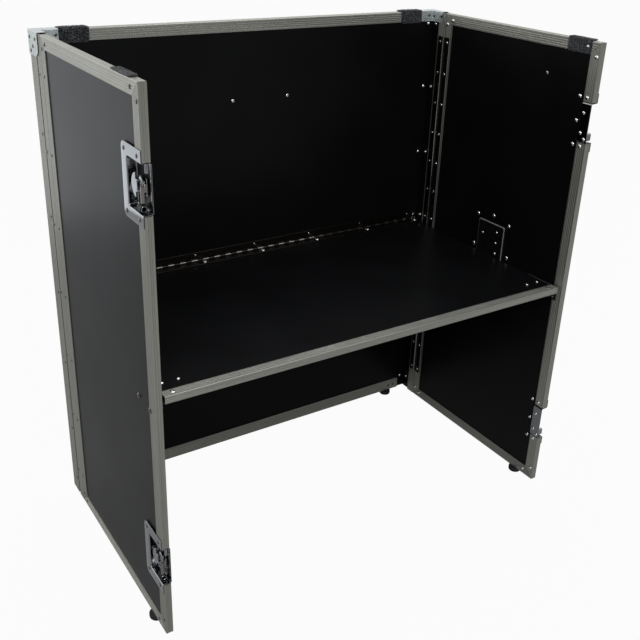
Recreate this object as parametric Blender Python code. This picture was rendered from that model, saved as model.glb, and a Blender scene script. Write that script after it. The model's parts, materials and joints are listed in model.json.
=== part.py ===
"""Folding stand for a table-top console case.

A shallow back section carries two hinged wings and a hinged shelf. With the shelf folded up, the
wings fold in over it and their front edges are held together by two recessed turn latches.
The stand is modelled open, with the shelf down. Metres, +Z up, the front faces -Y, and the origin
is on the floor below the middle of the stand.
"""

import math

import bmesh
import bpy
from mathutils import Vector

# Steps of a rounded corner
CORNER_STEPS = 3

# Overall sizes of the panels
PANEL_WIDTH = 0.848
PANEL_HEIGHT = 0.904
TRAY_DEPTH = 0.060
BOARD_THICKNESS = 0.0091
BACK_BOARD_THICKNESS = 0.015

# Edge extrusions
RAIL_WALL = 0.0015
RAIL_LEG = 0.021
SHELF_RAIL_LEG = 0.0185
BACK_TOP_RAIL_LEG = 0.020
BACK_BOTTOM_RAIL_LEG = 0.027
ANGLE_SIDE_LEG = 0.0335
ANGLE_BACK_LEG = 0.030

# Clearances
GAP = 0.0003
HINGE_EDGE_GAP = 0.001
MEETING_GAP = 0.003
SHELF_HINGE_CLEARANCE = 0.0005
SHELF_BACK_GAP = 0.001

# Piano hinges
LEAF_WIDTH = 0.017
LEAF_SHEET = 0.001
KNUCKLE_RADIUS = 0.0026
PIN_RADIUS = 0.0012
KNUCKLE_LENGTH = 0.0254
KNUCKLE_GAP = 0.0004
WING_HINGE_BOTTOM = 0.064
WING_HINGE_TOP_MARGIN = 0.047
KNUCKLE_SIDES = 8
PIN_SIDES = 10

# Shelf and what carries its front corners
SHELF_TOP = 0.447
SHELF_SETBACK = 0.005
BRACKET_SETBACK = 0.012
BRACKET_LENGTH = 0.075
BRACKET_SHEET = 0.0025
BRACKET_LEDGE = 0.020
BRACKET_RISE = 0.010
BRACKET_DROP = 0.018
REST_PLATE_SETBACK = 0.040
REST_PLATE_LENGTH = 0.015
REST_PLATE_WIDTH = 0.042

# Feet and pads
FOOT_RADIUS = 0.013
FOOT_HEIGHT = 0.010
FOOT_TOE_RADIUS = 0.0115
FOOT_SIDES = 20
FRONT_FOOT_SETBACK = 0.055
REAR_FOOT_SETBACK = 0.063
PAD_THICKNESS = 0.0015
PAD_DROP = 0.022
LEFT_PAD_SETBACK = 0.031
LEFT_PAD_LENGTH = 0.063
RIGHT_PAD_SETBACK = 0.020
RIGHT_PAD_LENGTH = 0.055
REAR_PAD_CLEARANCE = 0.0005
REAR_PAD_LENGTH = 0.052

# Pressed corner braces
BRACE_SHEET = 0.0012
BRACE_DROP = 0.038
BRACE_LIP_DROP = 0.020
BRACE_SIDE_REACH = 0.050
BRACE_BACK_REACH = 0.043
BRACE_CORNER_RADIUS = 0.016

# Recessed turn latches and their catches
DISH_SHEET = 0.0012
LATCH_SPACING = 0.625
LATCH_PLATE_HEIGHT = 0.105
LATCH_PLATE_DEPTH = 0.067
LATCH_PLATE_CORNER = 0.008
LATCH_POCKET_HEIGHT = 0.070
LATCH_POCKET_DEPTH = 0.050
CATCH_PLATE_DEPTH = 0.038
CATCH_POCKET_DEPTH = 0.023
POCKET_FLOOR_DEPTH = 0.0125
ROTOR_RADIUS = 0.013
ROTOR_POST_RADIUS = 0.004
ROTOR_HEIGHT = 0.0042
ROTOR_TOP_DEPTH = 0.0045
ROTOR_SIDES = 20
EAR_OUTER_DEPTH = 0.0005
EAR_HALF_LENGTH = 0.003
EAR_THICKNESS = 0.003
BUTTERFLY_ROOT_WIDTH = 0.011
BUTTERFLY_RADIUS = 0.018
BUTTERFLY_THICKNESS = 0.0022
BUTTERFLY_PIN_DEPTH = 0.0023
SLIDE_THICKNESS = 0.002
SLIDE_PRONG_WIDTH = 0.006
SLIDE_LENGTH = 0.028
SLIDE_BAR_DEPTH = 0.0045
SLIDE_BAR_SETBACK = 0.0015
SLIDE_BAR_TOP_DEPTH = 0.003
SLIDE_BAR_HEIGHT = 0.025
SLIDE_BAR_OFFSET = -0.008
KEEPER_SETBACK = 0.006
KEEPER_LENGTH = 0.004
KEEPER_WIDTH = 0.009
KEEPER_OFFSET = -0.0245
KEEPER_PROUD = 0.0045

# Recessed carrying handle
HANDLE_REACH = 0.204
HANDLE_PLATE_WIDTH = 0.112
HANDLE_PLATE_HEIGHT = 0.172
HANDLE_PLATE_CORNER = 0.012
HANDLE_POCKET_WIDTH = 0.075
HANDLE_POCKET_HEIGHT = 0.126
HANDLE_POCKET_DEPTH = 0.0153
BAIL_RADIUS = 0.0045
BAIL_REACH = 0.050
BAIL_BEND_RADIUS = 0.012
BAIL_EDGE_MARGIN = 0.0045
BAIL_INNER_RADIUS = 0.001
BAIL_DEPTH = 0.0075

# Values that follow from the sizes above
HALF_WIDTH = PANEL_WIDTH / 2
SKIN = RAIL_WALL + GAP
THICKNESS = BOARD_THICKNESS + 2 * SKIN
BACK_THICKNESS = BACK_BOARD_THICKNESS + 2 * SKIN
AXIS_OFFSET = KNUCKLE_RADIUS + GAP
BRACE_PROUD = BRACE_SHEET + GAP
WING_REACH = HALF_WIDTH - THICKNESS - AXIS_OFFSET - MEETING_GAP / 2
DEPTH = WING_REACH + HINGE_EDGE_GAP / 2 + TRAY_DEPTH

FRONT = -(DEPTH + BRACE_PROUD) / 2
BACK = FRONT + DEPTH
HINGE_LINE = FRONT + WING_REACH
WING_REAR = HINGE_LINE - HINGE_EDGE_GAP / 2
TRAY_FRONT = HINGE_LINE + HINGE_EDGE_GAP / 2
BACK_INNER = BACK - BACK_THICKNESS
BACK_BOARD_FACE = BACK_INNER + SKIN
BOTTOM = FOOT_HEIGHT
TOP = BOTTOM + PANEL_HEIGHT
MIDDLE = (BOTTOM + TOP) / 2

SHELF_SURFACE = BOTTOM + SHELF_TOP
SHELF_BOARD_TOP = SHELF_SURFACE - SKIN
SHELF_UNDERSIDE = SHELF_SURFACE - THICKNESS
SHELF_HALF_WIDTH = HALF_WIDTH - THICKNESS - AXIS_OFFSET - KNUCKLE_RADIUS - SHELF_HINGE_CLEARANCE
SHELF_FRONT = FRONT + SHELF_SETBACK
SHELF_REAR = BACK_BOARD_FACE - SHELF_BACK_GAP
SHELF_AXIS_Y = BACK_BOARD_FACE - AXIS_OFFSET
SHELF_AXIS_Z = SHELF_BOARD_TOP + AXIS_OFFSET

DISH_FACE = -(DISH_SHEET + GAP)
LATCH_CUT = LATCH_POCKET_HEIGHT + 2 * (DISH_SHEET + GAP)
LATCH_CENTRE_SETBACK = LATCH_POCKET_DEPTH / 2
HANDLE_FACE = SKIN - GAP - DISH_SHEET
HANDLE_Y = HINGE_LINE - HANDLE_REACH


def clear_scene():
    for old in list(bpy.data.objects):
        bpy.data.objects.remove(old, do_unlink=True)


def linear(value):
    return value / 12.92 if value <= 0.04045 else ((value + 0.055) / 1.055) ** 2.4


def make_material(name, colour, roughness, metallic):
    material = bpy.data.materials.new(name)
    material.use_nodes = True
    shader = material.node_tree.nodes["Principled BSDF"]
    channels = [linear(int(colour[i:i + 2], 16) / 255) for i in (0, 2, 4)]
    shader.inputs["Base Color"].default_value = (*channels, 1)
    shader.inputs["Roughness"].default_value = roughness
    shader.inputs["Metallic"].default_value = metallic
    return material


def make_materials():
    return {
        "extrusion": make_material("anodised_aluminium", "a5a59a", 0.4, 1),
        "laminate": make_material("black_laminate", "0d0d0d", 0.45, 0),
        "steel": make_material("zinc_steel", "b4b2ab", 0.3, 1),
        "chrome": make_material("chromed_steel", "cfcfcf", 0.12, 1),
        "black_steel": make_material("black_painted_steel", "1b1b1c", 0.5, 0),
        "rubber": make_material("black_rubber", "141414", 0.8, 0),
        "felt": make_material("black_felt", "0f0f0f", 0.95, 0),
    }


def carrier(name, place, parent=None):
    """An empty on a joint's axis, which the pieces of one moving body hang from."""
    empty = bpy.data.objects.new(name, None)
    empty.empty_display_size = 0.03
    bpy.context.collection.objects.link(empty)
    empty["place"] = tuple(place)
    empty.location = Vector(place)
    if parent is not None:
        empty.parent = parent
        empty.location -= Vector(parent["place"])
    return empty


def add_object(name, bm, material, parent=None):
    """Turn a bmesh in world coordinates into an object whose origin is its carrier's place."""
    if parent is not None:
        bmesh.ops.translate(bm, verts=bm.verts, vec=-Vector(parent["place"]))
    mesh = bpy.data.meshes.new(name)
    bm.to_mesh(mesh)
    bm.free()
    obj = bpy.data.objects.new(name, mesh)
    bpy.context.collection.objects.link(obj)
    if material is not None:
        mesh.materials.append(material)
    obj.parent = parent
    return obj


def prism(rings, smooth=False):
    """A closed bmesh through rings of points, with its first and last ring as flat caps."""
    bm = bmesh.new()
    rows = [[bm.verts.new(point) for point in ring] for ring in rings]
    count = len(rows[0])
    for low, high in zip(rows, rows[1:]):
        for i in range(count):
            j = (i + 1) % count
            side = bm.faces.new((low[i], low[j], high[j], high[i]))
            side.smooth = smooth
    bm.faces.new(rows[0])
    bm.faces.new(rows[-1])
    bmesh.ops.recalc_face_normals(bm, faces=bm.faces)
    return bm


def block(low, high):
    """A closed box between two corners, given in any order."""
    corners = [(low[0], low[1]), (high[0], low[1]), (high[0], high[1]), (low[0], high[1])]
    return prism([[(x, y, z) for x, y in corners] for z in (low[2], high[2])])


def combine(obj, cutters, operation):
    """Unite an object with hidden helper solids, or cut them out of it."""
    for index, cutter in enumerate(cutters):
        helper = add_object(f"{obj.name}_{operation.lower()}_{index}", cutter, None, obj.parent)
        helper.hide_render = True
        helper.display_type = "WIRE"
        modifier = obj.modifiers.new(f"{operation.lower()}_{index}", "BOOLEAN")
        modifier.operation = operation
        modifier.solver = "EXACT"
        modifier.object = helper


def panel_point(side, depth, y, z):
    """A point of a side panel, depth being measured inwards from the panel's outer face."""
    return Vector((side * (HALF_WIDTH - depth), y, z))


def channel(start, along, inward, across, length, leg, width, mitres=(False, False)):
    """A U-shaped extrusion round a panel's edge, with square or mitred ends."""
    profile = [(0, 0), (leg, 0), (leg, RAIL_WALL), (RAIL_WALL, RAIL_WALL),
               (RAIL_WALL, width - RAIL_WALL), (leg, width - RAIL_WALL), (leg, width), (0, width)]
    rings = []
    for end, mitred in enumerate(mitres):
        ring = []
        for depth, over in profile:
            setback = depth + GAP if mitred else 0
            reach = setback if end == 0 else length - setback
            ring.append(start + along * reach + inward * depth + across * over)
        rings.append(ring)
    return prism(rings)


def solid_panel(outline, low_depth, high_depth, side):
    """A board between two depths of a side panel, from its outline in Y and Z."""
    return prism([[panel_point(side, depth, y, z) for y, z in outline]
                  for depth in (low_depth, high_depth)])


def arc(centre, radius, start, end, steps):
    """Points of an arc, its angles in degrees."""
    angles = [math.radians(start + (end - start) * i / steps) for i in range(steps + 1)]
    return [(centre[0] + radius * math.cos(a), centre[1] + radius * math.sin(a)) for a in angles]


def turned(profile, centre, axis, sides):
    """A closed round solid from (radius, distance along the axis) pairs, with flat ends."""
    turn = Vector(axis).to_track_quat("Z", "Y")
    rings = []
    for radius, reach in profile:
        circle = arc((0, 0), radius, 0, 360 - 360 / sides, sides - 1)
        rings.append([Vector(centre) + turn @ Vector((x, y, reach)) for x, y in circle])
    return prism(rings, smooth=True)


def round_object(obj):
    obj.data.set_sharp_from_angle(angle=math.radians(35))
    return obj


def sheet_object(name, skin, back, faces, material, parent=None):
    """A pressed sheet piece from the points of its two skins, closed along their free edges."""
    bm = bmesh.new()
    front_verts = [bm.verts.new(point) for point in skin]
    back_verts = [bm.verts.new(point) for point in back]
    uses = {}
    for face in faces:
        bm.faces.new([front_verts[i] for i in face])
        bm.faces.new([back_verts[i] for i in reversed(face)])
        for i, j in zip(face, face[1:] + face[:1]):
            edge = (min(i, j), max(i, j))
            uses[edge] = uses.get(edge, 0) + 1
    for (i, j), count in uses.items():
        if count == 1:
            bm.faces.new((front_verts[i], front_verts[j], back_verts[j], back_verts[i]))
    bmesh.ops.recalc_face_normals(bm, faces=bm.faces)
    return add_object(name, bm, material, parent)


def leaf_profile():
    """Section of a hinge leaf: u runs along the leaf from the axis, v towards its seat."""
    steps = KNUCKLE_SIDES
    bore = KNUCKLE_RADIUS - LEAF_SHEET
    end_angle = 385
    outer = arc((0, 0), KNUCKLE_RADIUS, 90, end_angle, steps - 1)
    inner = arc((0, 0), bore, end_angle, 90, steps - 1)
    return [(LEAF_WIDTH, KNUCKLE_RADIUS)] + outer + inner + [(LEAF_WIDTH, bore)]


def hinge_leaf(name, origin, along, outward, seat, length, count, own, material, parent=None):
    """One leaf of a piano hinge, its knuckles cut where the other leaf's knuckles stand."""
    origin, along, outward, seat = (Vector(v) for v in (origin, along, outward, seat))
    rings = [[origin + along * reach + outward * u + seat * v for u, v in leaf_profile()]
             for reach in (0, length)]
    leaf = add_object(name, prism(rings), material, parent)
    cutter = bmesh.new()
    slot = KNUCKLE_RADIUS + KNUCKLE_GAP
    pitch = length / count
    for index in range(count):
        if index % 2 == own:
            continue
        low = index * pitch - KNUCKLE_GAP / 2
        high = (index + 1) * pitch + KNUCKLE_GAP / 2
        ring = [(-2 * slot, -2 * slot), (slot, -2 * slot), (slot, 2 * slot), (-2 * slot, 2 * slot)]
        box = prism([[origin + along * reach + outward * u + seat * v for u, v in ring]
                     for reach in (low, high)])
        part = bpy.data.meshes.new("slot")
        box.to_mesh(part)
        box.free()
        cutter.from_mesh(part)
        bpy.data.meshes.remove(part)
    combine(leaf, [cutter], "DIFFERENCE")
    return leaf


def knuckle_count(length):
    """An odd number of knuckles near the nominal length, so both ends are the fixed leaf's."""
    return max(3, 2 * round((length / KNUCKLE_LENGTH - 1) / 2) + 1)


def hinge_pin(name, start, axis, length, material):
    profile = [(PIN_RADIUS, -KNUCKLE_GAP), (PIN_RADIUS, length + KNUCKLE_GAP)]
    return round_object(add_object(name, turned(profile, start, axis, PIN_SIDES), material))


def build_back(mats):
    """The back board, its rails and corner angles, and the two narrow tray sides."""
    board_edge = HALF_WIDTH - SKIN - BOARD_THICKNESS - GAP
    add_object("back_board", block((-board_edge, BACK_BOARD_FACE, BOTTOM + SKIN),
                                   (board_edge, BACK - SKIN, TOP - SKIN)), mats["laminate"])
    rail_edge = HALF_WIDTH - ANGLE_BACK_LEG - GAP
    for name, z, inward, leg in (("back_top_rail", TOP, -1, BACK_TOP_RAIL_LEG),
                                 ("back_bottom_rail", BOTTOM, 1, BACK_BOTTOM_RAIL_LEG)):
        rail = channel(Vector((-rail_edge, BACK_INNER, z)), Vector((1, 0, 0)), Vector((0, 0, inward)),
                       Vector((0, 1, 0)), 2 * rail_edge, leg, BACK_THICKNESS)
        add_object(name, rail, mats["extrusion"])
    for side, hand in ((-1, "left"), (1, "right")):
        outline = [(TRAY_FRONT + SKIN, BOTTOM + SKIN), (BACK - SKIN, BOTTOM + SKIN),
                   (BACK - SKIN, TOP - SKIN), (TRAY_FRONT + SKIN, TOP - SKIN)]
        add_object(f"{hand}_tray_side", solid_panel(outline, SKIN, SKIN + BOARD_THICKNESS, side),
                   mats["laminate"])
        rail = channel(panel_point(side, 0, TRAY_FRONT, BOTTOM), Vector((0, 0, 1)),
                       Vector((0, 1, 0)), Vector((-side, 0, 0)), PANEL_HEIGHT, RAIL_LEG, THICKNESS)
        add_object(f"{hand}_tray_front_rail", rail, mats["extrusion"])
        section = [(0, 0), (0, -ANGLE_SIDE_LEG), (RAIL_WALL, -ANGLE_SIDE_LEG),
                   (RAIL_WALL, -RAIL_WALL), (ANGLE_BACK_LEG, -RAIL_WALL), (ANGLE_BACK_LEG, 0)]
        angle = prism([[panel_point(side, depth, BACK + y, z) for depth, y in section]
                       for z in (BOTTOM, TOP)])
        add_object(f"{hand}_rear_corner_angle", angle, mats["extrusion"])
        build_brace(side, hand, mats)


def build_brace(side, hand, mats):
    """A pressed brace over a top rear corner, from its outer plates over the top to its lips."""
    top = TOP + BRACE_PROUD
    low = TOP - BRACE_DROP
    lip_low = TOP - BRACE_LIP_DROP
    rear = BACK + BRACE_PROUD
    front = BACK - BRACE_SIDE_REACH
    outer = -BRACE_PROUD
    end = BRACE_BACK_REACH
    lip_depth = THICKNESS + BRACE_PROUD
    lip_y = BACK_INNER - BRACE_PROUD
    radius = BRACE_CORNER_RADIUS
    thick = BRACE_SHEET
    skin = []
    back = []

    def add(points, inward, shift, sink=0):
        """Points of the outer skin, and those of the inner skin one sheet below them."""
        for depth, y, z in points:
            skin.append(panel_point(side, depth, y, z))
            back.append(panel_point(side, depth + inward * thick, y + shift * thick, z - sink))
        return range(len(skin) - len(points), len(skin))

    top_outer_front, = add([(outer, front, top)], 1, 0, thick)
    top_corner, = add([(outer, rear, top)], 1, -1, thick)
    top_rear_end, = add([(end, rear, top)], 0, -1, thick)
    top_lip_end, = add([(end, lip_y, top)], 0, 1, thick)
    top_lip_corner, = add([(lip_depth, lip_y, top)], -1, 1, thick)
    top_lip_front, = add([(lip_depth, front, top)], -1, 0, thick)
    side_curve = arc((front + radius, low + radius), radius, 180, 270, CORNER_STEPS)
    side_round = add([(outer, y, z) for y, z in side_curve], 1, 0)
    back_curve = arc((end - radius, low + radius), radius, 360, 270, CORNER_STEPS)
    back_round = add([(depth, rear, z) for depth, z in back_curve], 0, -1)
    low_corner, = add([(outer, rear, low)], 1, -1)
    low_lip_end, = add([(end, lip_y, lip_low)], 0, 1)
    low_lip_corner, = add([(lip_depth, lip_y, lip_low)], -1, 1)
    low_lip_front, = add([(lip_depth, front, lip_low)], -1, 0)
    faces = [(top_outer_front, top_corner, top_rear_end, top_lip_end, top_lip_corner, top_lip_front),
             (top_corner, top_outer_front, *side_round, low_corner),
             (top_rear_end, top_corner, low_corner, *reversed(back_round)),
             (top_lip_corner, top_lip_end, low_lip_end, low_lip_corner),
             (top_lip_front, top_lip_corner, low_lip_corner, low_lip_front)]
    sheet_object(f"{hand}_top_brace", skin, back, faces, mats["chrome"])


def build_wing_hinge(side, hand, wing, mats):
    x = side * (HALF_WIDTH - THICKNESS - AXIS_OFFSET)
    start = (x, HINGE_LINE, BOTTOM + WING_HINGE_BOTTOM)
    length = PANEL_HEIGHT - WING_HINGE_BOTTOM - WING_HINGE_TOP_MARGIN
    count = knuckle_count(length)
    seat = (side, 0, 0)
    hinge_leaf(f"{hand}_hinge_fixed_leaf", start, (0, 0, 1), (0, 1, 0), seat, length, count, 0,
               mats["steel"])
    hinge_leaf(f"{hand}_hinge_moving_leaf", start, (0, 0, 1), (0, -1, 0), seat, length, count, 1,
               mats["steel"], wing)
    hinge_pin(f"{hand}_hinge_pin", start, (0, 0, 1), length, mats["steel"])


def build_shelf_hinge(shelf, mats):
    length = 2 * SHELF_HALF_WIDTH
    count = knuckle_count(length)
    start = (-SHELF_HALF_WIDTH, SHELF_AXIS_Y, SHELF_AXIS_Z)
    hinge_leaf("shelf_hinge_fixed_leaf", start, (1, 0, 0), (0, 0, 1), (0, 1, 0), length, count, 0,
               mats["steel"])
    hinge_leaf("shelf_hinge_moving_leaf", start, (1, 0, 0), (0, -1, 0), (0, 0, -1), length, count, 1,
               mats["steel"], shelf)
    hinge_pin("shelf_hinge_pin", start, (1, 0, 0), length, mats["steel"])


def latch_heights():
    return (("upper", MIDDLE + LATCH_SPACING / 2), ("lower", MIDDLE - LATCH_SPACING / 2))


def wing_outline(pocket_depth):
    """Outline of a wing's board in Y and Z, notched at the front for the two pockets."""
    front = FRONT + SKIN
    notch = FRONT + pocket_depth + DISH_SHEET + GAP
    outline = [(front, BOTTOM + SKIN), (WING_REAR - SKIN, BOTTOM + SKIN),
               (WING_REAR - SKIN, TOP - SKIN), (front, TOP - SKIN)]
    for name, centre in latch_heights():
        low, high = centre - LATCH_CUT / 2, centre + LATCH_CUT / 2
        outline += [(front, high), (notch, high), (notch, low), (front, low)]
    return outline


def build_wing(side, hand, wing, pocket_depth, mats):
    """A wing's board with its mitred edge rails; the front rail is cut at the latches."""
    board = add_object(f"{hand}_wing_board",
                       solid_panel(wing_outline(pocket_depth), SKIN, SKIN + BOARD_THICKNESS, side),
                       mats["laminate"], wing)
    up, down = Vector((0, 0, 1)), Vector((0, 0, -1))
    rearward, forward = Vector((0, 1, 0)), Vector((0, -1, 0))
    across = Vector((-side, 0, 0))
    length = WING_REAR - FRONT
    heights = dict(latch_heights())
    half_cut = LATCH_CUT / 2
    runs = (
        ("rear_rail", WING_REAR, BOTTOM, up, forward, PANEL_HEIGHT, (True, True)),
        ("top_rail", FRONT, TOP, rearward, down, length, (True, True)),
        ("bottom_rail", FRONT, BOTTOM, rearward, up, length, (True, True)),
        ("front_rail_top", FRONT, TOP, down, rearward,
         TOP - heights["upper"] - half_cut, (True, False)),
        ("front_rail_middle", FRONT, heights["lower"] + half_cut, up, rearward,
         heights["upper"] - heights["lower"] - LATCH_CUT, (False, False)),
        ("front_rail_bottom", FRONT, BOTTOM, up, rearward,
         heights["lower"] - half_cut - BOTTOM, (True, False)),
    )
    for name, y, z, along, inward, reach, mitres in runs:
        rail = channel(panel_point(side, 0, y, z), along, inward, across, reach, RAIL_LEG,
                       THICKNESS, mitres)
        add_object(f"{hand}_wing_{name}", rail, mats["extrusion"], wing)
    return board


def dish_object(name, side, centre_y, centre_z, plate, pocket, depths, corner, open_front, material,
                parent):
    """A pressed dish: a flat flange with rounded corners round a pocket with a flat floor.

    plate and pocket are (front, rear, half height) measured from the centre, and depths are those
    of the flange's face and of the pocket's floor. An open front has no flange and no wall.
    """
    face, floor = depths
    front, rear, half = plate
    mouth_front, mouth_rear, mouth_half = pocket
    steps = CORNER_STEPS
    rear_top = arc((rear - corner, half - corner), corner, 90, 0, steps)
    rear_low = arc((rear - corner, corner - half), corner, 0, -90, steps)
    if open_front:
        front_low, front_top = [(front, -half)], [(front, half)]
    else:
        front_low = arc((front + corner, corner - half), corner, 270, 180, steps)
        front_top = arc((front + corner, half - corner), corner, 180, 90, steps)
    flange = rear_top + rear_low + front_low + front_top
    mouth = [(mouth_rear, mouth_half), (mouth_rear, -mouth_half),
             (mouth_front, -mouth_half), (mouth_front, mouth_half)]

    front_wall = 0 if open_front else DISH_SHEET
    outside = [(mouth_rear + DISH_SHEET, mouth_half + DISH_SHEET),
               (mouth_rear + DISH_SHEET, -mouth_half - DISH_SHEET),
               (mouth_front - front_wall, -mouth_half - DISH_SHEET),
               (mouth_front - front_wall, mouth_half + DISH_SHEET)]

    def place(outline, depth):
        return [panel_point(side, depth, centre_y + y, centre_z + z) for y, z in outline]

    skin = place(flange, face) + place(mouth, face) + place(mouth, floor)
    back = place(flange, face + DISH_SHEET) + place(outside, face + DISH_SHEET)
    back += place(outside, floor + DISH_SHEET)
    rt = list(range(0, steps + 1))
    rl = list(range(steps + 1, 2 * steps + 2))
    fl = list(range(2 * steps + 2, 2 * steps + 2 + len(front_low)))
    ft = list(range(fl[-1] + 1, len(flange)))
    m = [len(flange) + i for i in range(4)]
    f = [len(flange) + 4 + i for i in range(4)]
    faces = [(*rt, *rl, m[1], m[0]), (rl[-1], *fl, m[2], m[1]), (ft[-1], rt[0], m[0], m[3]),
             (m[0], m[1], f[1], f[0]), (m[1], m[2], f[2], f[1]), (m[3], m[0], f[0], f[3]),
             (f[0], f[1], f[2], f[3])]
    if not open_front:
        faces += [(fl[-1], *ft, m[3], m[2]), (m[2], m[3], f[3], f[2])]
    return sheet_object(name, skin, back, faces, material, parent)


def build_latch(level, height, wing, mats):
    """A recessed turn latch: dish, rotor, folding butterfly key and sliding hook."""
    side = -1
    centre = FRONT + LATCH_CENTRE_SETBACK
    dish_object(f"{level}_latch_dish", side, FRONT, height,
                (0, LATCH_PLATE_DEPTH, LATCH_PLATE_HEIGHT / 2),
                (0, LATCH_POCKET_DEPTH, LATCH_POCKET_HEIGHT / 2),
                (DISH_FACE, POCKET_FLOOR_DEPTH), LATCH_PLATE_CORNER, True, mats["chrome"], wing)

    rotor_carrier = carrier(f"{level}_latch_axis", panel_point(side, 0, centre, height), wing)
    disc_back = ROTOR_TOP_DEPTH + ROTOR_HEIGHT
    profile = [(ROTOR_RADIUS, ROTOR_TOP_DEPTH), (ROTOR_RADIUS, disc_back),
               (ROTOR_POST_RADIUS, disc_back), (ROTOR_POST_RADIUS, POCKET_FLOOR_DEPTH - GAP)]
    rotor = add_object(f"{level}_latch_rotor",
                       turned(profile, panel_point(side, 0, centre, height), (-side, 0, 0),
                              ROTOR_SIDES),
                       mats["steel"], rotor_carrier)
    inner_ear = BUTTERFLY_ROOT_WIDTH / 2 + GAP
    ears = []
    for edge in (-1, 1):
        low = panel_point(side, EAR_OUTER_DEPTH, centre - EAR_HALF_LENGTH, height + edge * inner_ear)
        high = panel_point(side, ROTOR_TOP_DEPTH + ROTOR_HEIGHT / 2, centre + EAR_HALF_LENGTH,
                           height + edge * (inner_ear + EAR_THICKNESS))
        ears.append(block(low, high))
    combine(round_object(rotor), ears, "UNION")

    flip_carrier = carrier(f"{level}_butterfly_axis",
                           panel_point(side, BUTTERFLY_PIN_DEPTH, centre, height), rotor_carrier)
    half_root = BUTTERFLY_ROOT_WIDTH / 2
    half_thick = BUTTERFLY_THICKNESS / 2
    clear_ears = math.hypot(EAR_HALF_LENGTH, ROTOR_TOP_DEPTH - BUTTERFLY_PIN_DEPTH) + 2 * GAP
    spread = math.degrees(math.acos(clear_ears / BUTTERFLY_RADIUS))
    rim = arc((0, 0), BUTTERFLY_RADIUS, -spread, spread, 10)
    key = [(-half_thick, -half_root), (clear_ears, -half_root)] + rim
    key += [(clear_ears, half_root), (-half_thick, half_root)]
    plate = prism([[panel_point(side, BUTTERFLY_PIN_DEPTH + over, centre + y, height + z)
                    for y, z in key] for over in (-half_thick, half_thick)])
    add_object(f"{level}_latch_butterfly", plate, mats["chrome"], flip_carrier)

    slide_carrier = carrier(f"{level}_slide_axis", panel_point(side, 0, FRONT, height), wing)
    low_depth = POCKET_FLOOR_DEPTH - GAP - 2 * SLIDE_THICKNESS
    slot_half = ROTOR_POST_RADIUS + SLIDE_THICKNESS
    outer_half = slot_half + SLIDE_PRONG_WIDTH
    bar_front = FRONT + SLIDE_BAR_SETBACK
    bar_rear = bar_front + SLIDE_BAR_DEPTH
    tail = bar_rear + SLIDE_LENGTH
    root = centre - ROTOR_POST_RADIUS - GAP - SLIDE_PRONG_WIDTH
    fork = [(bar_rear - SLIDE_BAR_DEPTH / 2, -outer_half), (tail, -outer_half), (tail, -slot_half),
            (root, -slot_half), (root, slot_half), (tail, slot_half), (tail, outer_half),
            (bar_rear - SLIDE_BAR_DEPTH / 2, outer_half)]
    slide = prism([[panel_point(side, depth, y, height + z) for y, z in fork]
                   for depth in (low_depth + SLIDE_THICKNESS, low_depth + 2 * SLIDE_THICKNESS)])
    slide = add_object(f"{level}_latch_slide", slide, mats["steel"], slide_carrier)
    bar_middle = height + SLIDE_BAR_OFFSET
    bar = block(panel_point(side, SLIDE_BAR_TOP_DEPTH, bar_front, bar_middle - SLIDE_BAR_HEIGHT / 2),
                panel_point(side, low_depth + 2 * SLIDE_THICKNESS, bar_rear,
                            bar_middle + SLIDE_BAR_HEIGHT / 2))
    combine(slide, [bar], "UNION")


def build_catch(level, height, wing, mats):
    """The dish that meets a latch: an open pocket with a keeper standing up from its floor."""
    side = 1
    dish = dish_object(f"{level}_catch_dish", side, FRONT, height,
                       (0, CATCH_PLATE_DEPTH, LATCH_PLATE_HEIGHT / 2),
                       (0, CATCH_POCKET_DEPTH, LATCH_POCKET_HEIGHT / 2),
                       (DISH_FACE, POCKET_FLOOR_DEPTH), LATCH_PLATE_CORNER, True, mats["chrome"],
                       wing)
    middle = height + KEEPER_OFFSET
    keeper = block(
        panel_point(side, -KEEPER_PROUD, FRONT + KEEPER_SETBACK, middle - KEEPER_WIDTH / 2),
        panel_point(side, POCKET_FLOOR_DEPTH + DISH_SHEET / 2,
                    FRONT + KEEPER_SETBACK + KEEPER_LENGTH, middle + KEEPER_WIDTH / 2))
    combine(dish, [keeper], "UNION")


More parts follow.
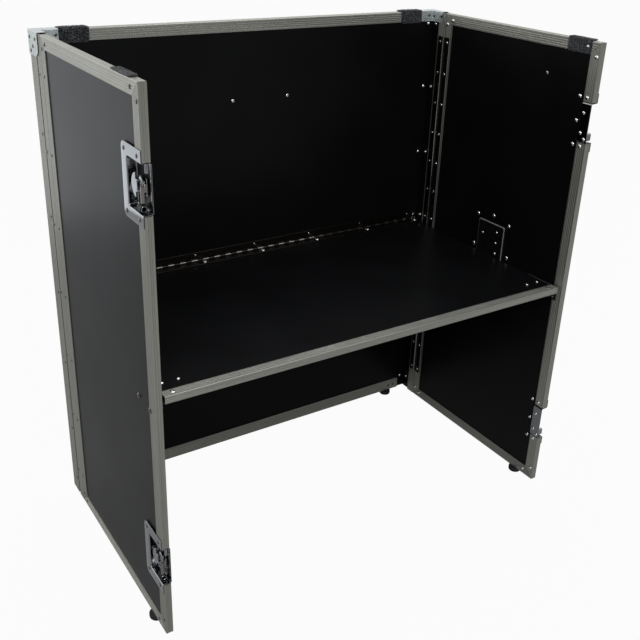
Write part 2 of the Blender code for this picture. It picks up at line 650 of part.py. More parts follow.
def build_handle(wing, board, mats):
    """The recessed carrying handle: a dish through the right wing's board, and its bail."""
    side = 1
    half_w, half_h = HANDLE_POCKET_WIDTH / 2, HANDLE_POCKET_HEIGHT / 2
    floor = HANDLE_FACE + HANDLE_POCKET_DEPTH
    dish_object("handle_dish", side, HANDLE_Y, MIDDLE,
                (-HANDLE_PLATE_WIDTH / 2, HANDLE_PLATE_WIDTH / 2, HANDLE_PLATE_HEIGHT / 2),
                (-half_w, half_w, half_h), (HANDLE_FACE, floor), HANDLE_PLATE_CORNER, False,
                mats["black_steel"], wing)
    reach = DISH_SHEET + GAP
    hole = block(panel_point(side, 0, HANDLE_Y - half_w - reach, MIDDLE - half_h - reach),
                 panel_point(side, THICKNESS, HANDLE_Y + half_w + reach, MIDDLE + half_h + reach))
    combine(board, [hole], "DIFFERENCE")

    axis_y = HANDLE_Y + half_w - BAIL_RADIUS - BAIL_EDGE_MARGIN
    depth = HANDLE_FACE + BAIL_DEPTH
    bail_carrier = carrier("handle_bail_axis", panel_point(side, depth, axis_y, MIDDLE), wing)
    fillet = BAIL_RADIUS + BAIL_INNER_RADIUS
    half_span = half_h - 2 * GAP - fillet
    bend = BAIL_BEND_RADIUS
    path = [(0, half_h - GAP)]
    path += arc((-fillet, half_span + fillet), fillet, 0, -90, CORNER_STEPS)
    path += arc((bend - BAIL_REACH, half_span - bend), bend, 90, 180, CORNER_STEPS)
    path += [(y, -z) for y, z in reversed(path)]
    curve = bpy.data.curves.new("handle_bail", "CURVE")
    curve.dimensions = "3D"
    curve.bevel_depth = BAIL_RADIUS
    curve.bevel_resolution = 2
    curve.use_fill_caps = True
    spline = curve.splines.new("POLY")
    spline.points.add(len(path) - 1)
    for point, (y, z) in zip(spline.points, path):
        point.co = (0, y, z, 1)
    bail = bpy.data.objects.new("handle_bail", curve)
    bpy.context.collection.objects.link(bail)
    curve.materials.append(mats["black_steel"])
    bail.parent = bail_carrier


def build_bracket(side, hand, wing, mats):
    """The angle that carries a front corner of the lowered shelf, on the wing's inner face."""
    outer = THICKNESS + GAP
    ledge_top = SHELF_UNDERSIDE - GAP
    front = FRONT + BRACKET_SETBACK
    section = [(outer, ledge_top - BRACKET_DROP), (outer + BRACKET_SHEET, ledge_top - BRACKET_DROP),
               (outer + BRACKET_SHEET, ledge_top - BRACKET_SHEET),
               (outer + BRACKET_LEDGE, ledge_top - BRACKET_SHEET), (outer + BRACKET_LEDGE, ledge_top),
               (outer + BRACKET_SHEET, ledge_top), (outer + BRACKET_SHEET, ledge_top + BRACKET_RISE),
               (outer, ledge_top + BRACKET_RISE)]
    bracket = prism([[panel_point(side, depth, y, z) for depth, z in section]
                     for y in (front, front + BRACKET_LENGTH)])
    add_object(f"{hand}_shelf_bracket", bracket, mats["black_steel"], wing)


def build_shelf(shelf, mats):
    """The shelf board with its front rail and the plates that rest on the brackets."""
    add_object("shelf_board", block((-SHELF_HALF_WIDTH, SHELF_FRONT + SKIN, SHELF_UNDERSIDE + SKIN),
                                    (SHELF_HALF_WIDTH, SHELF_REAR, SHELF_BOARD_TOP)),
               mats["laminate"], shelf)
    rail = channel(Vector((-SHELF_HALF_WIDTH, SHELF_FRONT, SHELF_UNDERSIDE)), Vector((1, 0, 0)),
                   Vector((0, 1, 0)), Vector((0, 0, 1)), 2 * SHELF_HALF_WIDTH, SHELF_RAIL_LEG,
                   THICKNESS)
    add_object("shelf_front_rail", rail, mats["extrusion"], shelf)
    front = SHELF_FRONT + REST_PLATE_SETBACK
    for side, hand in ((-1, "left"), (1, "right")):
        plate = block((side * (SHELF_HALF_WIDTH - REST_PLATE_WIDTH), front, SHELF_UNDERSIDE),
                      (side * SHELF_HALF_WIDTH, front + REST_PLATE_LENGTH,
                       SHELF_UNDERSIDE + SKIN - GAP))
        add_object(f"{hand}_shelf_rest_plate", plate, mats["steel"], shelf)


def build_foot(name, x, y, mats, parent=None):
    profile = [(FOOT_TOE_RADIUS, 0), (FOOT_RADIUS, FOOT_RADIUS - FOOT_TOE_RADIUS),
               (FOOT_RADIUS, FOOT_HEIGHT - GAP)]
    foot = turned(profile, (x, y, 0), (0, 0, 1), FOOT_SIDES)
    round_object(add_object(name, foot, mats["rubber"], parent))


def build_feet(wings, mats):
    for side, hand in ((-1, "left"), (1, "right")):
        build_foot(f"front_{hand}_foot", side * (HALF_WIDTH - THICKNESS / 2),
                   FRONT + FRONT_FOOT_SETBACK, mats, wings[hand])
        build_foot(f"rear_{hand}_foot", side * (HALF_WIDTH - REAR_FOOT_SETBACK), BACK - FOOT_RADIUS,
                   mats)


def build_pads(wings, mats):
    """Felt strips folded over the top edges, down the inner faces."""
    spans = (("left", -1, LEFT_PAD_SETBACK, LEFT_PAD_LENGTH),
             ("right", 1, RIGHT_PAD_SETBACK, RIGHT_PAD_LENGTH))
    for hand, side, setback, length in spans:
        inner = THICKNESS + GAP
        section = [(0, TOP + GAP), (inner, TOP + GAP), (inner, TOP - PAD_DROP),
                   (inner + PAD_THICKNESS, TOP - PAD_DROP),
                   (inner + PAD_THICKNESS, TOP + GAP + PAD_THICKNESS), (0, TOP + GAP + PAD_THICKNESS)]
        pad = prism([[panel_point(side, depth, FRONT + y, z) for depth, z in section]
                     for y in (setback, setback + length)])
        add_object(f"front_{hand}_pad", pad, mats["felt"], wings[hand])
        inner = BACK_INNER - GAP
        section = [(BACK, TOP + GAP), (inner, TOP + GAP), (inner, TOP - PAD_DROP),
                   (inner - PAD_THICKNESS, TOP - PAD_DROP),
                   (inner - PAD_THICKNESS, TOP + GAP + PAD_THICKNESS),
                   (BACK, TOP + GAP + PAD_THICKNESS)]
        outer_end = HALF_WIDTH - BRACE_BACK_REACH - REAR_PAD_CLEARANCE
        pad = prism([[(side * x, y, z) for y, z in section]
                     for x in (outer_end - REAR_PAD_LENGTH, outer_end)])
        add_object(f"rear_{hand}_pad", pad, mats["felt"])


def main():
    clear_scene()
    mats = make_materials()
    axis_x = HALF_WIDTH - THICKNESS - AXIS_OFFSET
    wings = {"left": carrier("left_wing_axis", (-axis_x, HINGE_LINE, MIDDLE)),
             "right": carrier("right_wing_axis", (axis_x, HINGE_LINE, MIDDLE))}
    shelf = carrier("shelf_axis", (0, SHELF_AXIS_Y, SHELF_AXIS_Z))

    build_back(mats)
    boards = {}
    for side, hand, pocket in ((-1, "left", LATCH_POCKET_DEPTH), (1, "right", CATCH_POCKET_DEPTH)):
        boards[hand] = build_wing(side, hand, wings[hand], pocket, mats)
        build_wing_hinge(side, hand, wings[hand], mats)
        build_bracket(side, hand, wings[hand], mats)
    for level, height in latch_heights():
        build_latch(level, height, wings["left"], mats)
        build_catch(level, height, wings["right"], mats)
    build_handle(wings["right"], boards["right"], mats)
    build_shelf(shelf, mats)
    build_shelf_hinge(shelf, mats)
    build_feet(wings, mats)
    build_pads(wings, mats)


main()
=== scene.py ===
"""Looks of the folding stand: ribbed extrusions, laminate boards, hinges, latches and fittings.

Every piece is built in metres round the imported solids, and rides on the body that carries it.
"""

import json
import math
import random
from collections import defaultdict

import bmesh
import bpy
from mathutils import Matrix, Vector

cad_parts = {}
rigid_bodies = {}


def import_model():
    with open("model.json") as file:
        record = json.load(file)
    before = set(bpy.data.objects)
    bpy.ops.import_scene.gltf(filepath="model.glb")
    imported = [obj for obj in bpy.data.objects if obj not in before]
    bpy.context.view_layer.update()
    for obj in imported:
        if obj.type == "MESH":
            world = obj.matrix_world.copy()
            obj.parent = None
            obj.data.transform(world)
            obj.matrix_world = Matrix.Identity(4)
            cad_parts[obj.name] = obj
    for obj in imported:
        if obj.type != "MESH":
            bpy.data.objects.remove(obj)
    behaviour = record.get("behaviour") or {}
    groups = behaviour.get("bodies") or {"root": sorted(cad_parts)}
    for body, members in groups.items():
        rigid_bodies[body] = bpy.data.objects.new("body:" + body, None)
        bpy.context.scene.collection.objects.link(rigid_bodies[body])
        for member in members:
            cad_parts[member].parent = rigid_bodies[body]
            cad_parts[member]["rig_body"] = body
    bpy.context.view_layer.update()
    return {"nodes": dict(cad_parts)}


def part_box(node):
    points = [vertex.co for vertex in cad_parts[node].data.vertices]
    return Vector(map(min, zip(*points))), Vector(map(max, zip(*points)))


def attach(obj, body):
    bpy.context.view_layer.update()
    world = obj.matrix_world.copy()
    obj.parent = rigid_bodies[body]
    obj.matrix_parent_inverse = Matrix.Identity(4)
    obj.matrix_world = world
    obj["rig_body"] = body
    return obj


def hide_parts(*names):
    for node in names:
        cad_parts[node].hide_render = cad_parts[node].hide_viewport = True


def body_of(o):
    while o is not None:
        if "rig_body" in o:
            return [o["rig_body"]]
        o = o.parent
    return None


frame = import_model()

bl_info = {
    "name": "Folding stand looks",
    "version": (1, 0, 0),
    "blender": (4, 5, 0),
    "location": "3D View > Sidebar > Stand",
    "description": "Dresses the solids of a folding stand with rails, fittings and finishes",
    "category": "Add Mesh",
}

X, Y, Z = Vector((1, 0, 0)), Vector((0, 1, 0)), Vector((0, 0, 1))
SIDES = (("left", -1), ("right", 1))
LEVELS = ("upper", "lower")
BACK = "back_section"
SUNK = 0.0002  # how far heads reach below the surface that they sit on


def linear(value):
    """Linear colour of an sRGB hex value."""
    channels = [int(value[i:i + 2], 16) / 255 for i in (0, 2, 4)]
    return tuple(c / 12.92 if c <= 0.04045 else ((c + 0.055) / 1.055) ** 2.4 for c in channels)


def size(name, description, millimetres):
    return bpy.props.FloatProperty(name=name, description=description, unit="LENGTH",
                                   default=millimetres / 1000, min=0, precision=5)


def tint(name, description, value):
    return bpy.props.FloatVectorProperty(name=name, description=description, subtype="COLOR",
                                         size=3, min=0, max=1, default=linear(value))


class StandRailSizes(bpy.types.PropertyGroup):
    rib_pitch: size("Rib pitch", "Width of one band along an extrusion's face", 3.9)
    groove_width: size("Groove width", "Width of the groove between two bands", 1.1)
    groove_depth: size("Groove depth", "Depth of the groove between two bands", 0.62)
    band_fall: size("Band fall", "How far a band's edges lie below its crown", 0.12)
    corner_radius: size("Corner radius", "Rounding of the extrusion's outer corners", 1.3)
    lip_radius: size("Lip radius", "Rounding of the legs' free ends", 0.4)
    wall: size("Wall", "Wall of the extrusion", 1.5)
    mitre_gap: size("Mitre gap", "Setback of each mitred end from the joint", 0.1)


class StandFastenerSizes(bpy.types.PropertyGroup):
    rivet_radius: size("Rivet radius", "Radius of a rivet's domed head", 3.5)
    rivet_rise: size("Rivet rise", "Height of a rivet's domed head", 1.15)
    rivet_tail: size("Rivet tail radius", "Radius of a rivet's upset inner end", 3.7)
    screw_radius: size("Screw radius", "Radius of a screw's head", 3.4)
    screw_rise: size("Screw rise", "Height of a pan head", 1.9)
    hinge_screw_radius: size("Hinge screw radius", "Radius of a hinge screw's head", 3.1)
    hinge_screw_rise: size("Hinge screw rise", "How far a hinge screw stands out", 1.4)
    bolt_radius: size("Bolt radius", "Radius of a bracket bolt's head", 4.6)
    nut_radius: size("Nut radius", "Radius over the corners of a bracket bolt's nut", 4.4)


class StandFittingSizes(bpy.types.PropertyGroup):
    knuckle_length: size("Knuckle length", "Length of one hinge knuckle", 12.7)
    leaf_sheet: size("Leaf sheet", "Thickness of a hinge leaf", 1.0)
    brace_sheet: size("Brace sheet", "Thickness of the pressed corner braces", 0.9)
    brace_corner: size("Brace corner", "Rounding of a brace's lower corners", 16)
    brace_lip: size("Brace lip", "Drop of a brace's lips down the inner faces", 20)
    brace_dimple: size("Brace dimple", "How deep the back plate's rivets are sunk", 0.6)
    bracket_drop: size("Bracket drop", "Height of a bracket's ledge over its lower edge", 18)
    bracket_sheet: size("Bracket sheet", "Thickness of the brackets", 2.5)
    dish_sheet: size("Dish sheet", "Thickness of the pressed dishes", 1.2)
    dish_rim: size("Dish rim", "Rolled radius round a dish's mouth", 1.4)
    dish_fillet: size("Dish fillet", "Radius where a dish's wall meets its floor", 1.6)
    dish_draft: size("Dish draft", "How far a dish's wall leans inwards", 0.8)
    latch_pocket: size("Latch pocket", "Reach of a latch's pocket from the front edge", 50)
    catch_pocket: size("Catch pocket", "Reach of a catch's pocket from the front edge", 23)
    latch_pocket_half: size("Pocket half height", "Half height of the latch pockets", 35)
    handle_pocket_half: size("Handle half width", "Half width of the handle's pocket", 37.5)
    handle_pocket_tall: size("Handle half height", "Half height of the handle's pocket", 63)
    felt_thickness: size("Felt thickness", "Thickness of the felt strips", 2.4)
    felt_tangle: size("Felt tangle", "Unevenness of the felt's surface", 0.45)
    felt_fibres: bpy.props.IntProperty(name="Felt fibres", default=900, min=0,
                                       description="Loose fibres on each felt strip")


class StandColours(bpy.types.PropertyGroup):
    aluminium: tint("Aluminium", "Anodised extrusion", "a6a59c")
    laminate: tint("Laminate", "Black laminate", "0a0a0b")
    zinc: tint("Zinc", "Pressed zinc-plated steel", "c8cdcc")
    chrome: tint("Chrome", "Chromed steel", "9a9c9e")
    nickel: tint("Hinge steel", "Plated steel of the hinges' knuckles", "8f8a86")
    # Painted shade: the hinge leaves' flats and the shelf hinge's moving knuckles are darkened for
    # the dark surroundings they reflect, so the shelf knuckles alternate dark and bright.
    leaf_shade_steel: tint("Dark steel", "Hinge leaves' steel, darkened as painted shade", "3b3732")
    screw_steel: tint("Screw steel", "Bright fasteners", "ecece8")
    # Painted shade: the outer rivet heads and the bracket bolts are darker than the same rivets'
    # bright inner ends, for the dark room they reflect.
    rivet_head_shade: tint("Rivet head shade", "Rivet heads on the outer faces, darkened as painted shade", "6f6d69")
    black_steel: tint("Black steel", "Stoved black paint on steel", "0c0c0d")
    # Painted highlight: a pale colour laid along the handle dish's inner bends for the light they
    # catch.
    bend_highlight_colour: tint("Bend highlight", "Pale line painted along the bends as a highlight", "b4b3b0")
    rubber: tint("Rubber", "Black rubber", "121212")
    felt: tint("Felt", "Black needled felt", "0d0d0e")
    felt_fibre: tint("Felt fibre", "Grey fibres in the felt", "747578")
    floor: tint("Floor", "Pale floor", "949494")


def sizes(kind):
    return getattr(bpy.context.scene, f"stand_{kind}")


def low(node):
    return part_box(node)[0]


def high(node):
    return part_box(node)[1]


def far(node, way):
    """How far a node's box reaches along a way."""
    return max(corner.dot(way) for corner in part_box(node))


def add_node(tree, kind, settings=None, links=None, stops=()):
    """Add a node, give it its settings, socket values and ramp stops, and link its inputs."""
    node = tree.nodes.new(kind)
    for key, value in (settings or {}).items():
        if isinstance(key, str) and hasattr(node, key):
            setattr(node, key, value)
        else:
            node.inputs[key].default_value = value
    for key, source in (links or {}).items():
        tree.links.new(source, node.inputs[key])
    for i, (place, colour) in enumerate(stops):
        node.color_ramp.elements[i].position = place
        node.color_ramp.elements[i].color = (*colour, 1)
    return node


def start_material(name, values):
    """A new material with its shader's own sockets set, its tree, and object coordinates."""
    material = bpy.data.materials.new(name)
    material.use_nodes = True
    tree = material.node_tree
    for key, value in values.items():
        tree.nodes["Principled BSDF"].inputs[key].default_value = value
    return material, tree, add_node(tree, "ShaderNodeTexCoord").outputs["Object"]


def shades(colour, *stops):
    """Ramp stops from (place, how light against the colour) pairs."""
    return [(place, tuple(min(1, c * light) for c in colour)) for place, light in stops]


def dress(tree, colour, stops, relief, rough=None):
    """Drive a shader's colour by a texture and a ramp's stops, its bump by (texture, strength,
    distance), and its roughness by (texture, least, most)."""
    shader = tree.nodes["Principled BSDF"]
    ramp = add_node(tree, "ShaderNodeValToRGB", None, {"Fac": colour.outputs[0]}, stops)
    tree.links.new(ramp.outputs["Color"], shader.inputs["Base Color"])
    if rough:
        spread = add_node(tree, "ShaderNodeMapRange", {"To Min": rough[1], "To Max": rough[2]},
                          {"Value": rough[0].outputs[0]})
        tree.links.new(spread.outputs["Result"], shader.inputs["Roughness"])
    bump = add_node(tree, "ShaderNodeBump", {"Strength": relief[1], "Distance": relief[2]},
                    {"Height": relief[0].outputs[0]})
    tree.links.new(bump.outputs["Normal"], shader.inputs["Normal"])


def eye_rays(tree, camera, mirrored):
    """A share for rays from the camera, and one for rays that gloss or glass sends on."""
    path = add_node(tree, "ShaderNodeLightPath")
    sent = add_node(tree, "ShaderNodeMath", {"operation": "MAXIMUM"},
                    {0: path.outputs["Is Glossy Ray"], 1: path.outputs["Is Transmission Ray"]})
    sent = add_node(tree, "ShaderNodeMath", {"operation": "MULTIPLY", 1: mirrored},
                    {0: sent.outputs[0]})
    share = add_node(tree, "ShaderNodeMath", {"operation": "MULTIPLY_ADD", 1: camera},
                     {0: path.outputs["Is Camera Ray"], 2: sent.outputs[0]})
    return share.outputs[0]


def anodised_aluminium(colours):
    """Extruded aluminium, satin anodised: the die leaves fine lines along the length, and
    handling leaves faint duller patches, so highlights stretch along the rail."""
    material, tree, place = start_material("extruded_anodised_aluminium", {
        "Metallic": 0.84, "Specular Tint": (0.72, 0.72, 0.72, 1)})
    grain = add_node(tree, "ShaderNodeUVMap", {"uv_map": "grain"})
    # Die lines are under 0.3 mm apart on the real rail, drawn 0.9 mm apart so that they show.
    stretched = add_node(tree, "ShaderNodeMapping", {"Scale": (3, 1100, 1)},
                         {"Vector": grain.outputs["UV"]})
    lines = add_node(tree, "ShaderNodeTexNoise", {"Scale": 1, "Detail": 2},
                     {"Vector": stretched.outputs["Vector"]})
    patches = add_node(tree, "ShaderNodeTexNoise", {"Scale": 1 / 0.045, "Detail": 3},
                       {"Vector": place})
    dress(tree, lines, shades(colours.aluminium, (0.32, 0.78), (0.68, 1.13)),
          (lines, 0.25, 0.0001), (patches, 0.3, 0.46))
    return material


def black_laminate(colours):
    """High-pressure laminate on plywood, pressed against a pebbled sheet: the fine grain breaks
    the reflection of the room into a soft grey sheen, with faint rubbed patches."""
    material, tree, place = start_material("pebbled_black_laminate", {"Metallic": 0, "IOR": 1.22})
    # The pebbles are about 0.8 mm wide, drawn at 1.6 mm so that they show.
    pebbles = add_node(tree, "ShaderNodeTexVoronoi", {"feature": "SMOOTH_F1", "Scale": 1 / 0.0016},
                       {"Vector": place})
    patches = add_node(tree, "ShaderNodeTexNoise", {"Scale": 1 / 0.12, "Detail": 4},
                       {"Vector": place})
    dress(tree, patches, shades(colours.laminate, (0.35, 0.85), (0.7, 1.25)),
          (pebbles, 0.1, 0.0002), (patches, 0.3, 0.38))
    return material


def plated_steel(name, colour, roughness, mottle, spangle):
    """Sheet or wire steel with an electroplated coat: smooth, with a light mottle where the
    bright coat has dulled, and a trace of the sheet's own waviness in the reflections."""
    material, tree, place = start_material(name, {"Metallic": 1})
    spots = add_node(tree, "ShaderNodeTexNoise", {"Scale": 1 / spangle, "Detail": 3},
                     {"Vector": place})
    dress(tree, spots, shades(colour, (0.35, 1 - mottle), (0.65, 1 + mottle / 2)),
          (spots, 0.2 * mottle, 0.0003), (spots, roughness * 0.8, roughness * 1.3))
    return material


def stoved_black_steel(colours, name="stoved_black_steel", highlight_share=0.0):
    """Black paint baked on steel: a slight orange-peel texture and a semi-gloss sheen. Where a
    highlight share is given, a thin pale line is painted along the bends as a highlight."""
    material, tree, place = start_material(name, {"Metallic": 0, "IOR": 1.5})
    # Orange peel has a grain of about 1.5 mm.
    peel = add_node(tree, "ShaderNodeTexNoise", {"Scale": 1 / 0.0015, "Detail": 1},
                    {"Vector": place})
    rubs = add_node(tree, "ShaderNodeTexNoise", {"Scale": 1 / 0.02, "Detail": 4},
                    {"Vector": place})
    dress(tree, rubs, shades(colours.black_steel, (0.4, 1), (0.8, 1.9)),
          (peel, 0.12, 0.0002), (rubs, 0.22, 0.34))
    base = tree.nodes["Principled BSDF"].inputs["Base Color"]
    # Painted highlight: the bend attribute mixes a pale colour into the paint along the bends.
    bend = add_node(tree, "ShaderNodeAttribute", {"attribute_name": "bend"})
    highlight_line = add_node(tree, "ShaderNodeMath", {"operation": "MULTIPLY", 1: highlight_share},
                    {0: bend.outputs["Fac"]})
    coat = add_node(tree, "ShaderNodeMixRGB", {"Color2": (*colours.bend_highlight_colour, 1)},
                    {"Fac": highlight_line.outputs["Value"], "Color1": base.links[0].from_socket})
    tree.links.new(coat.outputs["Color"], base)
    return material


def moulded_black_rubber(colours):
    """Moulded rubber: matt and very dark, with a dusty bloom in a fine 1 mm grain."""
    material, tree, place = start_material("moulded_black_rubber", {"Metallic": 0, "IOR": 1.52})
    bloom = add_node(tree, "ShaderNodeTexNoise", {"Scale": 1 / 0.001, "Detail": 3},
                     {"Vector": place})
    dress(tree, bloom, shades(colours.rubber, (0.4, 1), (0.75, 1.8)),
          (bloom, 0.3, 0.0002), (bloom, 0.65, 0.9))
    return material


def needled_felt(colours):
    """Needled polyester felt: black fibres matted together with paler ones, so it is matt
    and speckled, with a faint pale sheen at the edges."""
    material, tree, place = start_material("needled_black_felt", {
        "Metallic": 0, "Roughness": 1, "Sheen Weight": 0.25, "Sheen Roughness": 0.5,
        "Specular IOR Level": 0.15})
    # Fibres are hair-fine, so their tangle is drawn as 1.8 mm flecks.
    flecks = add_node(tree, "ShaderNodeTexNoise", {"Scale": 1 / 0.0018, "Detail": 4,
                                                   "Roughness": 0.7}, {"Vector": place})
    dress(tree, flecks, [(0.5, tuple(colours.felt)), (0.72, tuple(colours.felt_fibre))],
          (flecks, 0.9, 0.0008))
    return material


def make_materials():
    """The finishes by name; the last three numbers of a plated one are its roughness, its mottle
    and the size of the spangle."""
    c = sizes("colours")
    return {
        "extrusion": anodised_aluminium(c),
        "laminate": black_laminate(c),
        "chrome": plated_steel("polished_chromed_steel", c.chrome, 0.11, 0.05, 0.006),
        "zinc": plated_steel("pressed_zinc_plated_steel", c.zinc, 0.56, 0.36, 0.0026),
        "hinge_steel": plated_steel("rolled_nickel_plated_steel", c.nickel, 0.11, 0.05, 0.004),
        # Painted shade: the hinge leaves' steel, darkened for the dark surroundings they reflect.
        "shaded_leaf_steel": plated_steel("hinge_leaf_steel_painted_dark", c.leaf_shade_steel, 0.36, 0.2, 0.004),
        "fasteners": plated_steel("bright_zinc_fastener_steel", c.screw_steel, 0.22, 0.06, 0.003),
        # Painted shade: the steel of the outer rivet heads and the bolts is darkened for the dark
        # room they reflect.
        "rivets": plated_steel("nickel_rivet_heads_painted_shade", c.rivet_head_shade, 0.13, 0.1, 0.003),
        "black_steel": stoved_black_steel(c),
        # The handle dish's inner side: black paint with a painted highlight along its bends.
        "black_steel_bend_highlight": stoved_black_steel(c, "stoved_black_steel_painted_highlight", 0.55),
        "rubber": moulded_black_rubber(c),
        "felt": needled_felt(c),
    }


FINISHES = {}


def add_piece(name, bm, finish, body, *replaced, sharp=35):
    """Turn a bmesh in world coordinates into a piece that rides on a body."""
    bmesh.ops.recalc_face_normals(bm, faces=bm.faces)
    mesh = bpy.data.meshes.new(name)
    bm.to_mesh(mesh)
    bm.free()
    mesh.materials.append(FINISHES[finish])
    piece = bpy.data.objects.new(name, mesh)
    bpy.context.scene.collection.objects.link(piece)
    if sharp is not None:
        mesh.polygons.foreach_set("use_smooth", [True] * len(mesh.polygons))
        mesh.set_sharp_from_angle(angle=math.radians(sharp))
        piece.modifiers.new("level faces", "WEIGHTED_NORMAL").keep_sharp = True
    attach(piece, body)
    if replaced:
        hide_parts(*replaced)
    return piece


def sheet_piece(name, bm, finish, body, node, thickness, outward):
    """A pressed sheet piece from its outer skin, which faces outward, thickened inwards."""
    piece = add_piece(name, bm, finish, body, node, sharp=40)
    main = max(piece.data.polygons, key=lambda face: face.area * abs(face.normal.dot(outward)))
    if main.normal.dot(outward) < 0:
        piece.data.flip_normals()
    solid = piece.modifiers.new("sheet", "SOLIDIFY")
    solid.thickness = thickness
    solid.offset = -1
    solid.use_even_offset = True
    piece.modifiers.move(1, 0)
    return piece


def arc(centre, radius, start, end, steps):
    """Points of an arc, its angles in degrees."""
    angles = [math.radians(start + (end - start) * i / steps) for i in range(steps + 1)]
    return [(centre[0] + radius * math.cos(a), centre[1] + radius * math.sin(a)) for a in angles]


def skin(bm, rings, closed=True, first_cap=True):
    """Quads between rings of points, with flat caps, added to a bmesh. Returns the rings."""
    rows = [[bm.verts.new(point) for point in ring] for ring in rings]
    count = len(rows[0])
    for below, above in zip(rows, rows[1:]):
        for i in range(count if closed else count - 1):
            j = (i + 1) % count
            bm.faces.new((below[i], below[j], above[j], above[i]))
    if first_cap:
        bm.faces.new(rows[0])
    bm.faces.new(rows[-1])
    return rows


def turned(bm, profile, centre, axis, sides):
    """A round form from (radius, distance along the axis) pairs; a radius of 0 makes a tip."""
    stand = Vector(axis).to_track_quat("Z", "Y")
    rings = []
    for radius, reach in profile:
        circle = [(0, 0)] if radius == 0 else arc((0, 0), radius, 0, 360 - 360 / sides, sides - 1)
        rings.append([bm.verts.new(Vector(centre) + stand @ Vector((x, y, reach)))
                      for x, y in circle])
    for below, above in zip(rings, rings[1:]):
        for i in range(sides):
            j = (i + 1) % sides
            corners = (below[i % len(below)], below[j % len(below)],
                       above[j % len(above)], above[i % len(above)])
            bm.faces.new(tuple(dict.fromkeys(corners)))
    for ring in (rings[0], rings[-1]):
        if len(ring) > 1:
            bm.faces.new(ring)


def rounded_block(bm, one_corner, other_corner, radius, segments=2):
    """A block with its edges rounded."""
    lows = Vector(map(min, one_corner, other_corner))
    highs = Vector(map(max, one_corner, other_corner))
    verts = bmesh.ops.create_cube(bm, size=1)["verts"]
    for vert in verts:
        vert.co = (lows + highs) / 2 + Vector(c * s for c, s in zip(vert.co, highs - lows))
    edges = {edge for vert in verts for edge in vert.link_edges}
    bmesh.ops.bevel(bm, geom=list(edges), offset=radius, segments=segments, affect="EDGES",
                    profile=0.5)


def screw_head(bm, place, normal, radius, rise, turn=0.0):
    """A pan head with a cross recess, seated at a place on a surface."""
    stand = normal.to_track_quat("Z", "Y")
    sides = 16
    rings = []
    # Radius at the cross's four tips and elsewhere, as shares, and height
    for tip, other, reach in ((1, 1, -SUNK), (1, 1, rise * 0.25), (0.93, 0.93, rise * 0.62),
                              (0.74, 0.74, rise * 0.9), (0.56, 0.17, rise),
                              (0.4, 0.12, rise * 0.2)):
        ring = []
        for i in range(sides):
            angle = 2 * math.pi * i / sides + turn
            r = radius * (other if i % 4 else tip)
            ring.append(place + stand @ Vector((r * math.cos(angle), r * math.sin(angle), reach)))
        rings.append(ring)
    skin(bm, rings)


# (share of the radius, share of the rise): a drawn mandrel leaves a dimple in a rivet's head, and
# the upset end of its shank rolls over into a high dome.
RIVET_HEAD = ((1, 0.2), (0.9, 0.55), (0.68, 0.86), (0.42, 1), (0.3, 0.97), (0.24, 0.45), (0, 0.4))
RIVET_TAIL = ((1, 0.1), (0.96, 0.3), (0.85, 0.55), (0.66, 0.78), (0.42, 0.94), (0.2, 1), (0, 0.96))


def rivet(bm, form, sides, place, normal, radius, rise):
    profile = [(radius, -SUNK)] + [(radius * across, rise * up) for across, up in form]
    turned(bm, profile, place, normal, sides)


def datums():
    """The planes and lines that the pieces are placed from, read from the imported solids."""
    wing = "left_wing_top_rail"
    return {
        "front": low(wing).y, "bottom": low("left_wing_bottom_rail").z, "top": high(wing).z,
        "hinge": (low("left_hinge_pin").y + high("left_hinge_pin").y) / 2,
        "outer": -low(wing).x, "inner": -high(wing).x,
        "board_outer": -low("left_wing_board").x, "board_inner": -high("left_wing_board").x,
        "back": high("left_rear_corner_angle").y, "back_inner": low("back_top_rail").y,
        "back_board": low("back_board").y,
    }


def wing_places(side, y, z):
    """A function that turns (depth below a wing's outer face, y, z) into a point, the last two
    from the given ones."""
    outer = datums()["outer"]
    return lambda depth, ahead, up: Vector((side * (outer - depth), y + ahead, z + up))


